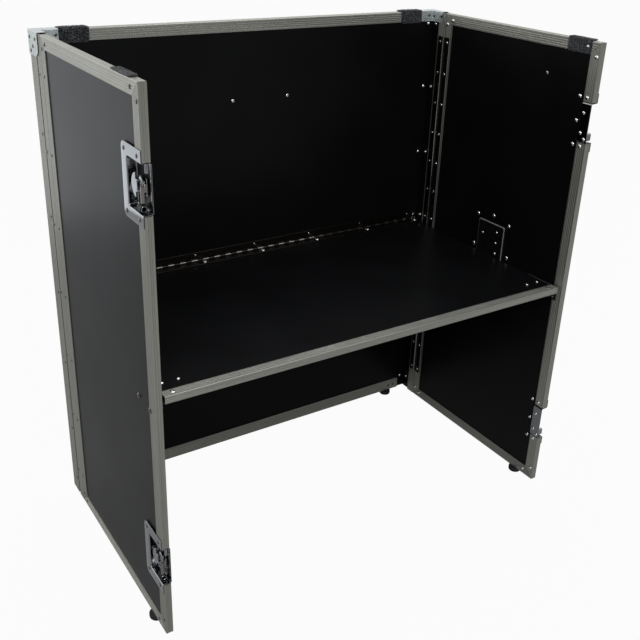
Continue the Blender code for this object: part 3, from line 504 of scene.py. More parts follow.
class STAND_OT_edge_rails(bpy.types.Operator):
    """Ribbed, mitred edge extrusions round the wings, the tray and the shelf"""
    bl_idname = "stand.edge_rails"
    bl_label = "Edge rails"

    def execute(self, context):
        # node, direction along, direction of the outer edge, mitred at the low and the high end
        rails = [("back_top_rail", X, Z, 0, 0), ("back_bottom_rail", X, -Z, 0, 0),
                 ("shelf_front_rail", X, -Y, 0, 0)]
        for hand, _ in SIDES:
            wing = f"{hand}_wing"
            rails += [(f"{hand}_tray_front_rail", Z, -Y, 0, 0), (f"{wing}_rear_rail", Z, Y, 1, 1),
                      (f"{wing}_top_rail", Y, Z, 1, 1), (f"{wing}_bottom_rail", Y, -Z, 1, 1),
                      (f"{wing}_front_rail_top", Z, -Y, 0, 1),
                      (f"{wing}_front_rail_middle", Z, -Y, 0, 0),
                      (f"{wing}_front_rail_bottom", Z, -Y, 1, 0)]
        for rail in rails:
            self.rail(*rail)
        for hand, side in SIDES:
            self.corner_angle(f"{hand}_rear_corner_angle", side)
        return {"FINISHED"}

    def rail(self, node, along, edge, low_mitre, high_mitre):
        """One U-shaped extrusion in its solid's box, a point's depth measured from the edge."""
        lows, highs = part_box(node)
        across = Vector(1 - abs(a) - abs(e) for a, e in zip(along, edge))
        outer = highs if sum(edge) > 0 else lows
        start = Vector(o if e else l for o, e, l in zip(outer, edge, lows))
        length, width = (highs - lows).dot(along), (highs - lows).dot(across)
        section = self.channel_section((highs - lows).dot(Vector(map(abs, edge))), width)
        gap = sizes("rails").mitre_gap
        rings = [[start + along * (end + way * (depth + gap)) - edge * depth + across * over
                  for depth, over in section]
                 for end, way in ((0, low_mitre), (length, -high_mitre))]
        self.extrude(node, rings, section)

    def extrude(self, node, rings, section):
        """Skin the rings, with UVs in metres along the length and round the section."""
        bm = bmesh.new()
        layer = bm.loops.layers.uv.new("grain")
        rows = skin(bm, rings)
        girth = [0]
        for a, b in zip(section, section[1:] + section[:1]):
            girth.append(girth[-1] + math.dist(a, b))
        order = {vert: (row, i) for row, ring in enumerate(rows) for i, vert in enumerate(ring)}
        length = (Vector(rings[1][0]) - Vector(rings[0][0])).length
        for face in bm.faces:
            wraps = {order[v][1] for v in face.verts} == {0, len(section) - 1}
            for loop in face.loops:
                row, i = order[loop.vert]
                if len(face.verts) > 4:
                    loop[layer].uv = section[i]
                else:
                    loop[layer].uv = (row * length, girth[-1] if wraps and i == 0 else girth[i])
        add_piece(f"{node}_ribbed", bm, "extrusion", body_of(frame["nodes"][node])[0], node,
                  sharp=24)

    def bands(self, start, end):
        """(position, depth) pairs of a face's shallow bands and the grooves between them."""
        s = sizes("rails")
        count = max(1, round((end - start) / s.rib_pitch))
        pitch = (end - start) / count
        half = s.groove_width / 2
        points = []
        for i in range(count):
            left = start + i * pitch
            points += [(left + half, s.band_fall), (left + pitch / 2, 0),
                       (left + pitch - half, s.band_fall)]
            if i < count - 1:
                points.append((left + pitch, s.groove_depth))
        return points

    def leg(self, start, end):
        """A leg's face from the rounded corner to its rounded lip, as (position, depth)."""
        r = sizes("rails").lip_radius
        return self.bands(start, end - r) + arc((end - r, r), r, -90, 0, 2)[1:]

    def channel_section(self, leg, width):
        """(depth, position across) pairs round a U-shaped extrusion."""
        s = sizes("rails")
        r = s.corner_radius
        face = self.leg(r, leg)
        section = list(reversed(face)) + arc((r, r), r, 270, 180, 3)
        section += [(depth, over) for over, depth in self.bands(r, width - r)]
        section += arc((r, width - r), r, 180, 90, 3)
        section += [(place, width - depth) for place, depth in face]
        section += [(leg, width - s.wall), (s.wall, width - s.wall), (s.wall, s.wall),
                    (leg, s.wall)]
        return section

    def corner_angle(self, node, side):
        """The rear corner's angle: one ribbed leg on the tray's side and one on the back."""
        s = sizes("rails")
        lows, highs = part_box(node)
        side_leg, back_leg = highs.y - lows.y, highs.x - lows.x
        r = s.corner_radius * 1.4
        section = [(depth, place) for place, depth in reversed(self.leg(r, side_leg))]
        section += arc((r, r), r, 180, 270, 4) + self.leg(r, back_leg)
        section += [(back_leg, s.wall), (s.wall, s.wall), (s.wall, side_leg)]
        outer = lows.x if side < 0 else highs.x
        rings = [[Vector((outer - side * depth, highs.y - forward, z))
                  for depth, forward in section] for z in (lows.z, highs.z)]
        self.extrude(node, rings, section)


class STAND_OT_boards(bpy.types.Operator):
    """Laminate on the boards of the back, the tray, the wings and the shelf"""
    bl_idname = "stand.boards"
    bl_label = "Boards"

    def execute(self, context):
        boards = ["back_board", "shelf_board"]
        boards += [f"{hand}_{part}" for hand, _ in SIDES for part in ("tray_side", "wing_board")]
        for name in boards:
            materials = frame["nodes"][name].data.materials
            materials.clear()
            materials.append(FINISHES["laminate"])
        return {"FINISHED"}


class STAND_OT_piano_hinges(bpy.types.Operator):
    """Piano hinges of the wings and the shelf, with rolled knuckles, pins and screws"""
    bl_idname = "stand.piano_hinges"
    bl_label = "Piano hinges"

    TOP_SCREW = 0.8465  # over the stand's bottom edge
    SCREW_PITCH = 0.0643
    SHELF_SCREW_PITCH = 0.1325
    KNUCKLE_GAP = 0.0002

    def execute(self, context):
        top = datums()["bottom"] + self.TOP_SCREW
        screws = [top - self.SCREW_PITCH * k for k in range(13)]
        for hand, side in SIDES:
            plain = (X * side, "hinge_steel", 0.011, 0, 1)
            leaves = ((f"{hand}_hinge_fixed_leaf", BACK, Y, *plain),
                      (f"{hand}_hinge_moving_leaf", f"{hand}_wing", -Y, *plain))
            self.hinge(f"{hand}_hinge_pin", Z, leaves, screws)
        # The moving leaf's knuckles take the darkened steel, painted shade that makes them
        # alternate with the bright fixed ones.
        leaves = (("shelf_hinge_fixed_leaf", BACK, Z, Y, "hinge_steel", 0.0115, -0.0155, 0.65),
                  ("shelf_hinge_moving_leaf", "shelf", -Y, -Z, "shaded_leaf_steel", 0.0078, 0, 1.5))
        screws = [0.002 + self.SHELF_SCREW_PITCH * k for k in range(-3, 4)]
        self.hinge("shelf_hinge_pin", X, leaves, screws)
        return {"FINISHED"}

    def hinge(self, pin, along, leaves, screws):
        """A leaf is (node, body, way out from the pin, way to its seat, finish, then its screws'
        distance from the pin, their shift along it and their scale)."""
        s, sheet = sizes("fasteners"), sizes("fittings").leaf_sheet
        lows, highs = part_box(leaves[0][0])
        start, length = lows.dot(along), (highs - lows).dot(along)
        centre = (low(pin) + high(pin)) / 2
        origin = centre - along * centre.dot(along)
        count = 2 * round(length / sizes("fittings").knuckle_length / 2) + 1
        pitch = length / count
        for own, (node, body, outward, seat, finish, ahead, shift, scale) in enumerate(leaves):
            reach, radius = (far(node, way) - origin.dot(way) for way in (outward, seat))
            neck = radius + 0.0012
            curl = [(neck, radius)] + arc((0, 0), radius, 90, 388, 16)
            curl += arc((0, 0), radius - sheet, 388, 90, 16) + [(neck, radius - sheet)]
            bm = bmesh.new()
            for k in range(own, count, 2):
                ends = (start + k * pitch + self.KNUCKLE_GAP,
                        start + (k + 1) * pitch - self.KNUCKLE_GAP)
                skin(bm, [[origin + along * end + outward * u + seat * v for u, v in curl]
                          for end in ends])
            add_piece(f"{node}_rolled", bm, finish, body, node, sharp=30)

            bm = bmesh.new()
            rounded_block(
                bm, origin + along * start + outward * (radius + 0.0005) + seat * (radius - sheet),
                origin + along * (start + length) + outward * reach + seat * radius, 0.0003, 1)
            # The flats take the darkened steel, painted shade for the dark inside that they
            # reflect.
            add_piece(f"{node}_flat", bm, "shaded_leaf_steel", body, node, sharp=30)

            bm = bmesh.new()
            for k, place in enumerate(screws):
                spot = origin + along * (place + shift) + outward * ahead + seat * (radius - sheet)
                screw_head(bm, spot, -seat, s.hinge_screw_radius * scale,
                           s.hinge_screw_rise * scale, turn=0.7 * k)
            add_piece(f"{node}_screws", bm, "fasteners", body)

        radius = (high(pin) - low(pin)).y / 2
        bm = bmesh.new()
        turned(bm, [(radius * 0.6, -0.0006), (radius, 0), (radius, length),
                    (radius * 0.6, length + 0.0006)], centre - along * length / 2, along, 12)
        add_piece(f"{pin}_drawn", bm, "hinge_steel", BACK, pin)


class STAND_OT_corner_braces(bpy.types.Operator):
    """Pressed zinc braces over the back section's top corners"""
    bl_idname = "stand.corner_braces"
    bl_label = "Corner braces"

    def execute(self, context):
        for hand, side in SIDES:
            node = f"{hand}_top_brace"
            bm = bmesh.new()
            self.shell(bm, side, *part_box(node))
            sheet_piece(f"{node}_pressed", bm, "zinc", BACK, node, sizes("fittings").brace_sheet, Z)
        return {"FINISHED"}

    def shell(self, bm, side, lows, highs):
        """The outer skin: side and back plates, the top, and a lip down the inside of each."""
        d, f = datums(), sizes("fittings")
        top, foot, front = highs.z, lows.z, lows.y
        proud = top - d["top"]
        rear = highs.y - f.brace_dimple
        outer, end = (lows.x, highs.x) if side < 0 else (highs.x, lows.x)
        lip_x, lip_y = side * (d["inner"] - proud), d["back_inner"] - proud
        lip_foot = d["top"] - f.brace_lip
        r = f.brace_corner
        side_curve = arc((front + r, foot + r), r, 180, 270, 6)
        back_curve = [(end + side * (r + x), z) for x, z in arc((0, foot + r), r, 180, 270, 6)]
        plates = (
            [(outer, rear, top), (outer, front, top)] + [(outer, y, z) for y, z in side_curve]
            + [(outer, rear, foot)],
            [(outer, rear, top), (end, rear, top)] + [(x, rear, z) for x, z in back_curve]
            + [(outer, rear, foot)],
            [(outer, front, top), (outer, rear, top), (end, rear, top), (end, lip_y, top),
             (lip_x, lip_y, top), (lip_x, front, top)],
            [(end, lip_y, top), (lip_x, lip_y, top), (lip_x, lip_y, lip_foot),
             (end, lip_y, lip_foot)],
            [(lip_x, front, top), (lip_x, lip_y, top), (lip_x, lip_y, lip_foot),
             (lip_x, front, lip_foot)])
        for plate in plates:
            bm.faces.new([bm.verts.new(point) for point in plate])
        bmesh.ops.remove_doubles(bm, verts=bm.verts, dist=0.00001)
        bmesh.ops.recalc_face_normals(bm, faces=bm.faces)
        folds = [edge for edge in bm.edges if len(edge.link_faces) == 2]
        bmesh.ops.bevel(bm, geom=folds, offset=0.0015, segments=3, affect="EDGES", profile=0.5)


def rounded_outline(front, rear, half, radius, open_front, steps=5):
    """A rounded rectangle in (forward, up) points; an open one starts and ends at its front."""
    points = arc((rear - radius, radius - half), radius, -90, 0, steps)
    points += arc((rear - radius, half - radius), radius, 0, 90, steps)
    if open_front:
        return [(front, -half)] + points + [(front, half)]
    points += arc((front + radius, half - radius), radius, 90, 180, steps)
    points += arc((front + radius, radius - half), radius, 180, 270, steps)
    return points


def dish_skin(bm, place, plate, pocket, corner, depths, open_front):
    """The outer skin of a pressed dish: flange, rolled rim, drafted wall, fillet and floor, with
    the fillet's inner edge marked as the bend where a pale highlight line is painted.

    plate and pocket are (front, rear, half height); place turns (depth, y, z) into a point.
    """
    f = sizes("fittings")
    face, floor = depths
    front, rear, half = pocket
    # How far the ring lies outside the pocket's mouth, and its depth
    steps = [(f.dish_rim * (1 - math.sin(a)), face + f.dish_rim * (1 - math.cos(a)))
             for a in map(math.radians, (0, 30, 60, 90))]
    steps += [(-f.dish_draft - f.dish_fillet * (1 - math.cos(a)),
               floor - f.dish_fillet * (1 - math.sin(a)))
              for a in map(math.radians, (0, 30, 60, 90))]
    rows = [(*plate, corner, face)]
    rows += [(front if open_front else front - grow, rear + grow, half + grow,
              max(0.002, 0.0045 + grow), depth) for grow, depth in steps]
    rings = [[place(depth, y, z) for y, z in rounded_outline(*row, open_front)]
             for *row, depth in rows]
    bend = bm.verts.layers.float.new("bend")
    built = skin(bm, rings, closed=not open_front, first_cap=False)
    for vert in built[-2]:
        vert[bend] = 1


class STAND_OT_turn_latches(bpy.types.Operator):
    """Recessed butterfly latches on the left wing: dish, rotor, key and hook"""
    bl_idname = "stand.turn_latches"
    bl_label = "Turn latches"

    DISC_BACK = 0.0082  # the rotor's disc below the top of its key rests
    BOSS = (0.0043, 0.0092, -0.0289)  # depth, distance from the front edge, height

    def execute(self, context):
        for level in LEVELS:
            lows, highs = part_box(f"{level}_latch_dish")
            centre = (lows.z + highs.z) / 2
            place = wing_places(-1, datums()["front"], centre)
            self.dish(level, lows, highs, place)
            hub = self.rotor(level, centre)
            self.butterfly(level, hub)
            self.hook(level, hub)
        return {"FINISHED"}

    def dish(self, level, lows, highs, place):
        """The chromed dish, with its rolled eye, stop strip and tab, and a black inlay on its floor
        and round its eye as painted shade.
        """
        f, outer = sizes("fittings"), datums()["outer"]
        node = f"{level}_latch_dish"
        face, floor = outer + lows.x, outer + highs.x - f.dish_sheet
        bm = bmesh.new()
        dish_skin(bm, place, (0, highs.y - lows.y, (highs.z - lows.z) / 2),
                  (0, f.latch_pocket, f.latch_pocket_half), 0.008, (face, floor), True)
        sheet_piece(f"{node}_pressed", bm, "chrome", "left_wing", node, f.dish_sheet, -X)

        bm = bmesh.new()
        turned(bm, [(0.0046, 0.004), (0.0046, 0.0003), (0.0043, 0), (0.0037, 0), (0.0034, 0.0004),
                    (0.0034, 0.004)], place(*self.BOSS), Y, 28)
        rounded_block(bm, place(floor - 0.0001, 0.0006, -0.0225),
                      place(floor - 0.0008, 0.0024, 0.0335), 0.0003)
        rounded_block(bm, place(0.0046, 0.0006, f.latch_pocket_half - 0.0002),
                      place(0.0094, 0.0040, f.latch_pocket_half - 0.0138), 0.0014, 3)
        add_piece(f"{level}_latch_boss", bm, "chrome", "left_wing")

        bm = bmesh.new()
        # Painted shade: a black inlay over the dish's floor and a black cup round its eye, laid
        # where the pocket's inside falls in shade.
        turned(bm, [(0.0056, 0.013), (0.0056, 0.0006), (0.005, 0), (0.0034, 0.0002),
                    (0.0028, 0.0008), (0.0028, 0.011), (0, 0.011)],
               place(*self.BOSS) + Y * 0.0003, Y, 28)
        rounded_block(bm, place(floor + 0.0003, 0.003, -0.0315),
                      place(floor - 0.0002, 0.047, 0.0315), 0.0001, 1)
        add_piece(f"{level}_latch_shade_inlay", bm, "laminate", "left_wing")

    def rotor(self, level, centre):
        """The round rotor with the two rests of its folded key. Returns the hub's place."""
        rotor = f"{level}_latch_rotor"
        lows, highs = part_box(rotor)
        radius = (highs.y - lows.y) / 2
        hub = Vector((lows.x + self.DISC_BACK, (lows.y + highs.y) / 2, centre))
        bm = bmesh.new()
        turned(bm, [(radius - 0.0008, 0), (radius, 0.0008), (radius, 0.0026),
                    (radius - 0.001, 0.0037), (radius * 0.78, 0.0042), (radius * 0.7, 0.0034),
                    (radius * 0.5, 0.0033), (radius * 0.42, 0.004), (radius * 0.2, 0.0042),
                    (0, 0.0042)], hub, -X, 36)
        turned(bm, [(0.004, hub.x - highs.x), (0.004, 0.0005)], hub, -X, 16)
        for way in (-1, 1):
            inner = hub.z + way * 0.0058
            rounded_block(bm, (lows.x, hub.y - 0.003, inner),
                          (lows.x + 0.0055, hub.y + 0.003, inner + way * 0.003), 0.0009, 3)
        add_piece(f"{rotor}_turned", bm, "chrome", f"{level}_rotor", rotor)
        return hub

    def butterfly(self, level, hub):
        """The folded key: a D-shaped plate with a raised, domed face and a rolled edge."""
        key = f"{level}_latch_butterfly"
        lows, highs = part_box(key)
        reach = highs.y - hub.y
        start, root = 0.0043, 0.0055
        spread = math.degrees(math.acos(start / reach))
        points = [(lows.y - hub.y, -root), (start, -root)]
        points += arc((0, 0), reach, -spread, spread, 24)
        points += [(start, root), (lows.y - hub.y, root)]
        bm = bmesh.new()
        skin(bm, [[Vector((x, hub.y + y, hub.z + z)) for y, z in points]
                  for x in (lows.x, highs.x)])
        bmesh.ops.bevel(bm, geom=list(bm.edges), offset=0.0005, segments=2, affect="EDGES",
                        profile=0.5)
        bm.normal_update()
        outer = [face for face in bm.faces if len(face.verts) > 20 and face.normal.x < -0.9]
        for inset, rise in ((0.0012, 0.0006), (0.0018, 0.0005), (0.0026, 0.0003)):
            bmesh.ops.inset_region(bm, faces=outer, thickness=inset, depth=rise)
        add_piece(f"{key}_pressed", bm, "chrome", f"{level}_key", key, sharp=30)

    def hook(self, level, hub):
        """The sliding hook: a cross bar in front, a neck, a plate and a fork round the rotor."""
        slide = f"{level}_latch_slide"
        lows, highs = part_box(slide)
        deep, shallow, centre = highs.x - 0.001, lows.x, hub.z
        sheet, half, slot = 0.0018, 0.012, 0.006
        bar_front, bar_rear = lows.y + 0.0066, lows.y + 0.0098
        root = hub.y - 0.0103
        bm = bmesh.new()
        rounded_block(bm, (shallow - 0.0028, bar_front, centre - 0.0205),
                      (shallow + 0.0024, bar_rear, centre + 0.0032), 0.0009, 3)
        rounded_block(bm, (shallow + 0.003, bar_front, centre - slot),
                      (deep, bar_rear, centre + slot), 0.0004)
        rounded_block(bm, (deep - sheet, bar_rear - 0.001, centre - half),
                      (deep, root + 0.006, centre + half), 0.0004)
        for way in (-1, 1):
            rounded_block(bm, (deep - sheet, root, centre + way * slot),
                          (deep, highs.y, centre + way * half), 0.0004)
        add_piece(f"{slide}_stamped", bm, "hinge_steel", f"{level}_hook", slide)


class STAND_OT_catches(bpy.types.Operator):
    """Catch dishes on the right wing, each with its keeper"""
    bl_idname = "stand.catches"
    bl_label = "Catches"

    def execute(self, context):
        d, f = datums(), sizes("fittings")
        for level in LEVELS:
            node = f"{level}_catch_dish"
            lows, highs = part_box(node)
            place = wing_places(1, d["front"], (lows.z + highs.z) / 2)
            floor = d["outer"] - lows.x - f.dish_sheet
            bm = bmesh.new()
            dish_skin(bm, place, (0, highs.y - lows.y, (highs.z - lows.z) / 2),
                      (0, f.catch_pocket, f.latch_pocket_half), 0.008,
                      (-f.dish_sheet - 0.0003, floor), True)
            sheet_piece(f"{node}_pressed", bm, "chrome", "right_wing", node, f.dish_sheet, X)
            bm = bmesh.new()
            rounded_block(bm, place(floor + 0.0003, 0.0045, -0.0335),
                          place(d["outer"] - highs.x, 0.0105, -0.0195), 0.0025, 4)
            rounded_block(bm, place(floor + 0.0003, 0.003, -0.0342),
                          place(floor - 0.0018, 0.0135, -0.018), 0.0006)
            add_piece(f"{level}_keeper", bm, "chrome", "right_wing")
        return {"FINISHED"}


def tube(bm, path, radius, sides=16):
    """A round bar along a path of points."""
    across = (path[1] - path[0]).orthogonal().normalized()
    rings = []
    for i, point in enumerate(path):
        ahead = (path[min(i + 1, len(path) - 1)] - path[max(i - 1, 0)]).normalized()
        across = (across - ahead * across.dot(ahead)).normalized()
        other = ahead.cross(across)
        rings.append([point + across * radius * math.cos(a) + other * radius * math.sin(a)
                      for a in [2 * math.pi * k / sides for k in range(sides)]])
    skin(bm, rings)


class STAND_OT_carrying_handle(bpy.types.Operator):
    """Recessed carrying handle in the right wing: black dish, steel bail and ribbed grip"""
    bl_idname = "stand.carrying_handle"
    bl_label = "Carrying handle"

    GRIP_RIBS = 14

    def execute(self, context):
        d, f = datums(), sizes("fittings")
        lows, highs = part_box("handle_dish")
        middle, half = (lows + highs) / 2, (highs - lows) / 2
        bm = bmesh.new()
        dish_skin(bm, wing_places(1, middle.y, middle.z), (-half.y, half.y, half.z),
                  (-f.handle_pocket_half, f.handle_pocket_half, f.handle_pocket_tall), 0.012,
                  (d["outer"] - highs.x, d["outer"] - lows.x - f.dish_sheet), False)
        dish = sheet_piece("handle_dish_pressed", bm, "black_steel", "right_wing", "handle_dish",
                           f.dish_sheet, X)
        # The sheet's inner side, which shows inside the stand, gets the second finish, with a
        # painted highlight along its bends.
        dish.data.materials.append(FINISHES["black_steel_bend_highlight"])
        dish.modifiers["sheet"].material_offset = 1
        self.bail(middle.z)
        return {"FINISHED"}

    def bail(self, z_middle):
        """A round bar with two turned-in feet, and a ribbed grip on its long side."""
        lows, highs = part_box("handle_bail")
        radius, x = (highs.x - lows.x) / 2, (lows.x + highs.x) / 2
        axis_y = highs.y - radius
        reach = highs.y - lows.y - 2 * radius
        fillet, corner = radius + 0.001, 0.012
        end = (highs.z - lows.z) / 2
        span = end - 0.0003 - fillet
        path = [(0, end), (0, span + fillet)]
        path += arc((-fillet, span + fillet), fillet, 0, -90, 6)[1:]
        path += arc((corner - reach, span - corner), corner, 90, 180, 10)
        path += [(y, -z) for y, z in reversed(path)]
        bm = bmesh.new()
        tube(bm, [Vector((x, axis_y + y, z_middle + z)) for y, z in path], radius * 0.8)
        grip_half = span - corner - 0.004
        grip = [(radius * 0.8, -0.0006), (radius * 0.98, 0), (radius, 0.0015)]
        step = (2 * grip_half - 0.006) / self.GRIP_RIBS
        for k in range(self.GRIP_RIBS):
            base = 0.003 + step * k
            grip += [(radius, base + step * 0.15), (radius, base + step * 0.7),
                     (radius * 0.93, base + step * 0.78), (radius * 0.93, base + step * 0.92)]
        grip += [(radius, 2 * grip_half - 0.0015), (radius * 0.98, 2 * grip_half),
                 (radius * 0.8, 2 * grip_half + 0.0006)]
        turned(bm, grip, (x, axis_y - reach, z_middle - grip_half), Z, 20)
        add_piece("handle_bail_formed", bm, "black_steel", "carrying_bail", "handle_bail", sharp=30)


class STAND_OT_shelf_brackets(bpy.types.Operator):
    """Black angles that carry the lowered shelf's front corners, with their bolts"""
    bl_idname = "stand.shelf_brackets"
    bl_label = "Shelf brackets"

    BOLT_HEIGHT = 0.4234
    # Distance from the front edge, and the face that the head sits on
    BOLTS = ((0.0175, "outer"), (0.0650, "board_outer"))

    def execute(self, context):
        d, f, s = datums(), sizes("fittings"), sizes("fasteners")
        for hand, side in SIDES:
            node = f"{hand}_shelf_bracket"
            lows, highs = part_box(node)
            seat, edge = (lows.x, highs.x) if side < 0 else (highs.x, lows.x)
            ledge, sheet = lows.z + f.bracket_drop, f.bracket_sheet
            into = -side
            r = 0.001
            section = [(seat, lows.z), (seat + into * (sheet - r), lows.z),
                       (seat + into * sheet, lows.z + r), (seat + into * sheet, ledge - sheet),
                       (edge - into * r, ledge - sheet), (edge, ledge - sheet + r),
                       (edge, ledge - r), (edge - into * r, ledge),
                       (seat + into * (sheet + r), ledge), (seat + into * sheet, ledge + r),
                       (seat + into * sheet, highs.z - r), (seat + into * (sheet - r), highs.z),
                       (seat, highs.z)]
            bm = bmesh.new()
            skin(bm, [[(x, y, z) for x, z in section] for y in (lows.y, highs.y)])
            add_piece(f"{node}_folded", bm, "black_steel", f"{hand}_wing", node)
            bm = bmesh.new()
            head = [(s.bolt_radius, -SUNK), (s.bolt_radius, 0.0004), (s.bolt_radius * 0.85, 0.0013),
                    (s.bolt_radius * 0.5, 0.0021), (0, 0.0024)]
            nut = [(s.nut_radius, -SUNK), (s.nut_radius, 0.0024), (0.0038, 0.003), (0.0022, 0.003),
                   (0.0019, 0.0044), (0, 0.0044)]
            for forward, face in self.BOLTS:
                y, z = d["front"] + forward, d["bottom"] + self.BOLT_HEIGHT
                turned(bm, head, (side * d[face], y, z), X * side, 20)
                turned(bm, nut, (seat + into * sheet, y, z), X * into, 6)
            # The bolts take the rivet heads' steel, darkened as painted shade.
            add_piece(f"{node}_bolts", bm, "rivets", f"{hand}_wing", sharp=25)
        return {"FINISHED"}


class STAND_OT_shelf_fittings(bpy.types.Operator):
    """Plates under the shelf's front corners, and the screws that hold them"""
    bl_idname = "stand.shelf_fittings"
    bl_label = "Shelf fittings"

    SCREWS_BACK = 0.0425  # from the shelf's front edge
    SCREWS_ACROSS = (0.3655, 0.3926)  # from the middle

    def execute(self, context):
        s = sizes("fasteners")
        y, z = low("shelf_front_rail").y + self.SCREWS_BACK, high("shelf_board").z
        heads = bmesh.new()
        for hand, side in SIDES:
            node = f"{hand}_shelf_rest_plate"
            bm = bmesh.new()
            rounded_block(bm, *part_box(node), 0.0005)
            add_piece(f"{node}_cut", bm, "zinc", "shelf", node)
            for across in self.SCREWS_ACROSS:
                screw_head(heads, Vector((side * across, y, z)), Z, s.screw_radius, s.screw_rise,
                           turn=side * across * 9)
        add_piece("shelf_screws", heads, "fasteners", "shelf")
        return {"FINISHED"}


class STAND_OT_rivets(bpy.types.Operator):
    """Rivets and screws through the rails, the braces, the dishes and the boards"""
    bl_idname = "stand.rivets"
    bl_label = "Rivets and screws"

    # All distances are from the edge, line or face that the code names. Heights are over the
    # stand's bottom edge.
    HINGE_ROW = [0.8395 - 0.1295 * k for k in range(7)]
    TRAY_ROWS = {-1: (0.737, 0.590, 0.444, 0.297, 0.150, 0.031),
                 1: (0.7485, 0.604, 0.457, 0.310, 0.164, 0.031)}
    TRAY_TOP_TAIL = 0.879  # its head is under the corner brace
    BRACE_PLATE = ((0.0095, 0.894), (0.0385, 0.894), (0.0235, 0.881), (0.0115, 0.873))
    CATCH_PLATE = ((0.015, 0.0165), (0.0156, -0.0195), (0.006, -0.0295))
    HANDLE_RIM = ((0.157, 0.520), (0.202, 0.528), (0.247, 0.519), (0.153, 0.452),
                  (0.251, 0.452), (0.157, 0.384), (0.202, 0.376), (0.247, 0.385))
    HANDLE_FLOOR = ((0.181, 0.486), (0.221, 0.498), (0.221, 0.475), (0.222, 0.452))

    def execute(self, context):
        # One mesh of each kind for each body, started when its first fastener is drawn
        self.heads, self.tails, self.screws = (defaultdict(bmesh.new) for _ in range(3))
        d = datums()
        for hand, side in SIDES:
            self.wing(d, f"{hand}_wing", side)
            self.tray(d, side)
            self.brace(d, side)
        self.handle(d)
        self.back_and_shelf(d)
        # Outer heads take the darkened rivet steel as painted shade; their inner ends stay bright.
        for kind, group, finish in (("rivets", self.heads, "rivets"),
                                    ("rivet_ends", self.tails, "fasteners"),
                                    ("screws", self.screws, "fasteners")):
            for body, bm in group.items():
                add_piece(f"{kind}_{body}", bm, "fasteners" if body == "shelf" else finish, body,
                          sharp=30)
        return {"FINISHED"}

    def head(self, body, place, normal, scale=1.0, rise=None):
        s = sizes("fasteners")
        rivet(self.heads[body], RIVET_HEAD, 14, place, normal, s.rivet_radius * scale,
              rise or s.rivet_rise * scale)

    def tail(self, body, place, normal, scale=1.0):
        s = sizes("fasteners")
        rivet(self.tails[body], RIVET_TAIL, 16, place, normal, s.rivet_tail * scale,
              s.rivet_rise * 1.8 * scale)

    def screw(self, body, place, normal, turn=0.0):
        s = sizes("fasteners")
        screw_head(self.screws[body], Vector(place), normal, s.screw_radius, s.screw_rise, turn)

    def wing(self, d, body, side):
        out, into = X * side, -X * side
        outer, inner, board = (side * d[face] for face in ("outer", "inner", "board_inner"))
        front, hinge = d["front"], d["hinge"]
        for y, from_edge in ((front + 0.028, 0.0105), (front + 0.007, 0.0253),
                             (hinge - 0.023, 0.012), (hinge - 0.007, 0.021)):
            for z in (d["bottom"] + from_edge, d["top"] - from_edge):
                self.head(body, (outer, y, z), out)
                self.tail(body, (inner, y, z), into)
        for height in self.HINGE_ROW:
            self.head(body, (outer, hinge - 0.007, d["bottom"] + height), out, 0.85)
        dish, rear = ("latch", 0.058) if side < 0 else ("catch", 0.031)
        for level in LEVELS:
            lows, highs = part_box(f"{level}_{dish}_dish")
            centre = (lows.z + highs.z) / 2
            for forward, seat in ((0.013, inner), (rear, board)):
                for up in (-0.0435, 0.0435):
                    self.head(body, (outer + side * 0.0015, front + forward, centre + up), out)
                    self.tail(body, (seat, front + forward, centre + up), into)
            if side > 0:
                self.tail(body, (board, front + rear, centre), into)
                for forward, up in self.CATCH_PLATE:
                    self.tail(body, (outer - 0.0137, front + forward, centre + up), into, 0.9)

    def tray(self, d, side):
        outer, board = side * d["outer"], side * d["board_inner"]
        back_x = side * (d["outer"] - 0.0215)
        for height in self.HINGE_ROW:
            self.head(BACK, (outer, d["hinge"] + 0.018, d["bottom"] + height), X * side, 0.85)
        for height in self.TRAY_ROWS[side]:
            z = d["bottom"] + height
            self.head(BACK, (outer, d["back"] - 0.0245, z), X * side)
            self.head(BACK, (back_x, d["back"], z), Y)
        for height in (self.TRAY_TOP_TAIL, *self.TRAY_ROWS[side]):
            z = d["bottom"] + height
            self.tail(BACK, (board, d["back"] - 0.0275, z), -X * side)
            self.tail(BACK, (back_x, d["back_board"], z), -Y)

    def brace(self, d, side):
        """Heads on a brace's two plates, sunk flush on the rear one, and on its lips."""
        dimple = sizes("fittings").brace_dimple
        highs = high("right_top_brace")
        for back, height in self.BRACE_PLATE:
            z = d["bottom"] + height
            self.head(BACK, (highs.x * side, d["back"] - back, z), X * side)
            if back < 0.03:
                self.head(BACK, (side * (d["outer"] - back), highs.y - dimple, z), Y, rise=dimple)
        proud = highs.z - d["top"]
        lip_x, lip_y = side * (d["inner"] - proud), d["back_inner"] - proud
        self.head(BACK, (lip_x, d["hinge"] + 0.0135, d["bottom"] + 0.897), -X * side)
        self.head(BACK, (lip_x, d["back_inner"] - 0.005, d["bottom"] + 0.895), -X * side, 0.85)
        across = 0.024 if side > 0 else 0.0385
        self.head(BACK, (side * (d["outer"] - across), lip_y, d["bottom"] + 0.896), -Y, 0.85)

    def handle(self, d):
        body, inner = "right_wing", d["board_inner"]
        for reach, height in self.HANDLE_RIM:
            y, z = d["hinge"] - reach, d["bottom"] + height
            self.tail(body, (inner, y, z), -X, 1.15)
            self.head(body, (d["outer"] - 0.0003, y, z), X)
        for reach, height in self.HANDLE_FLOOR:
            self.tail(body, (low("handle_dish").x, d["hinge"] - reach, d["bottom"] + height), -X,
                      0.8)
        self.screw(body, (inner, d["hinge"] - 0.292, d["bottom"] + 0.834), -X)

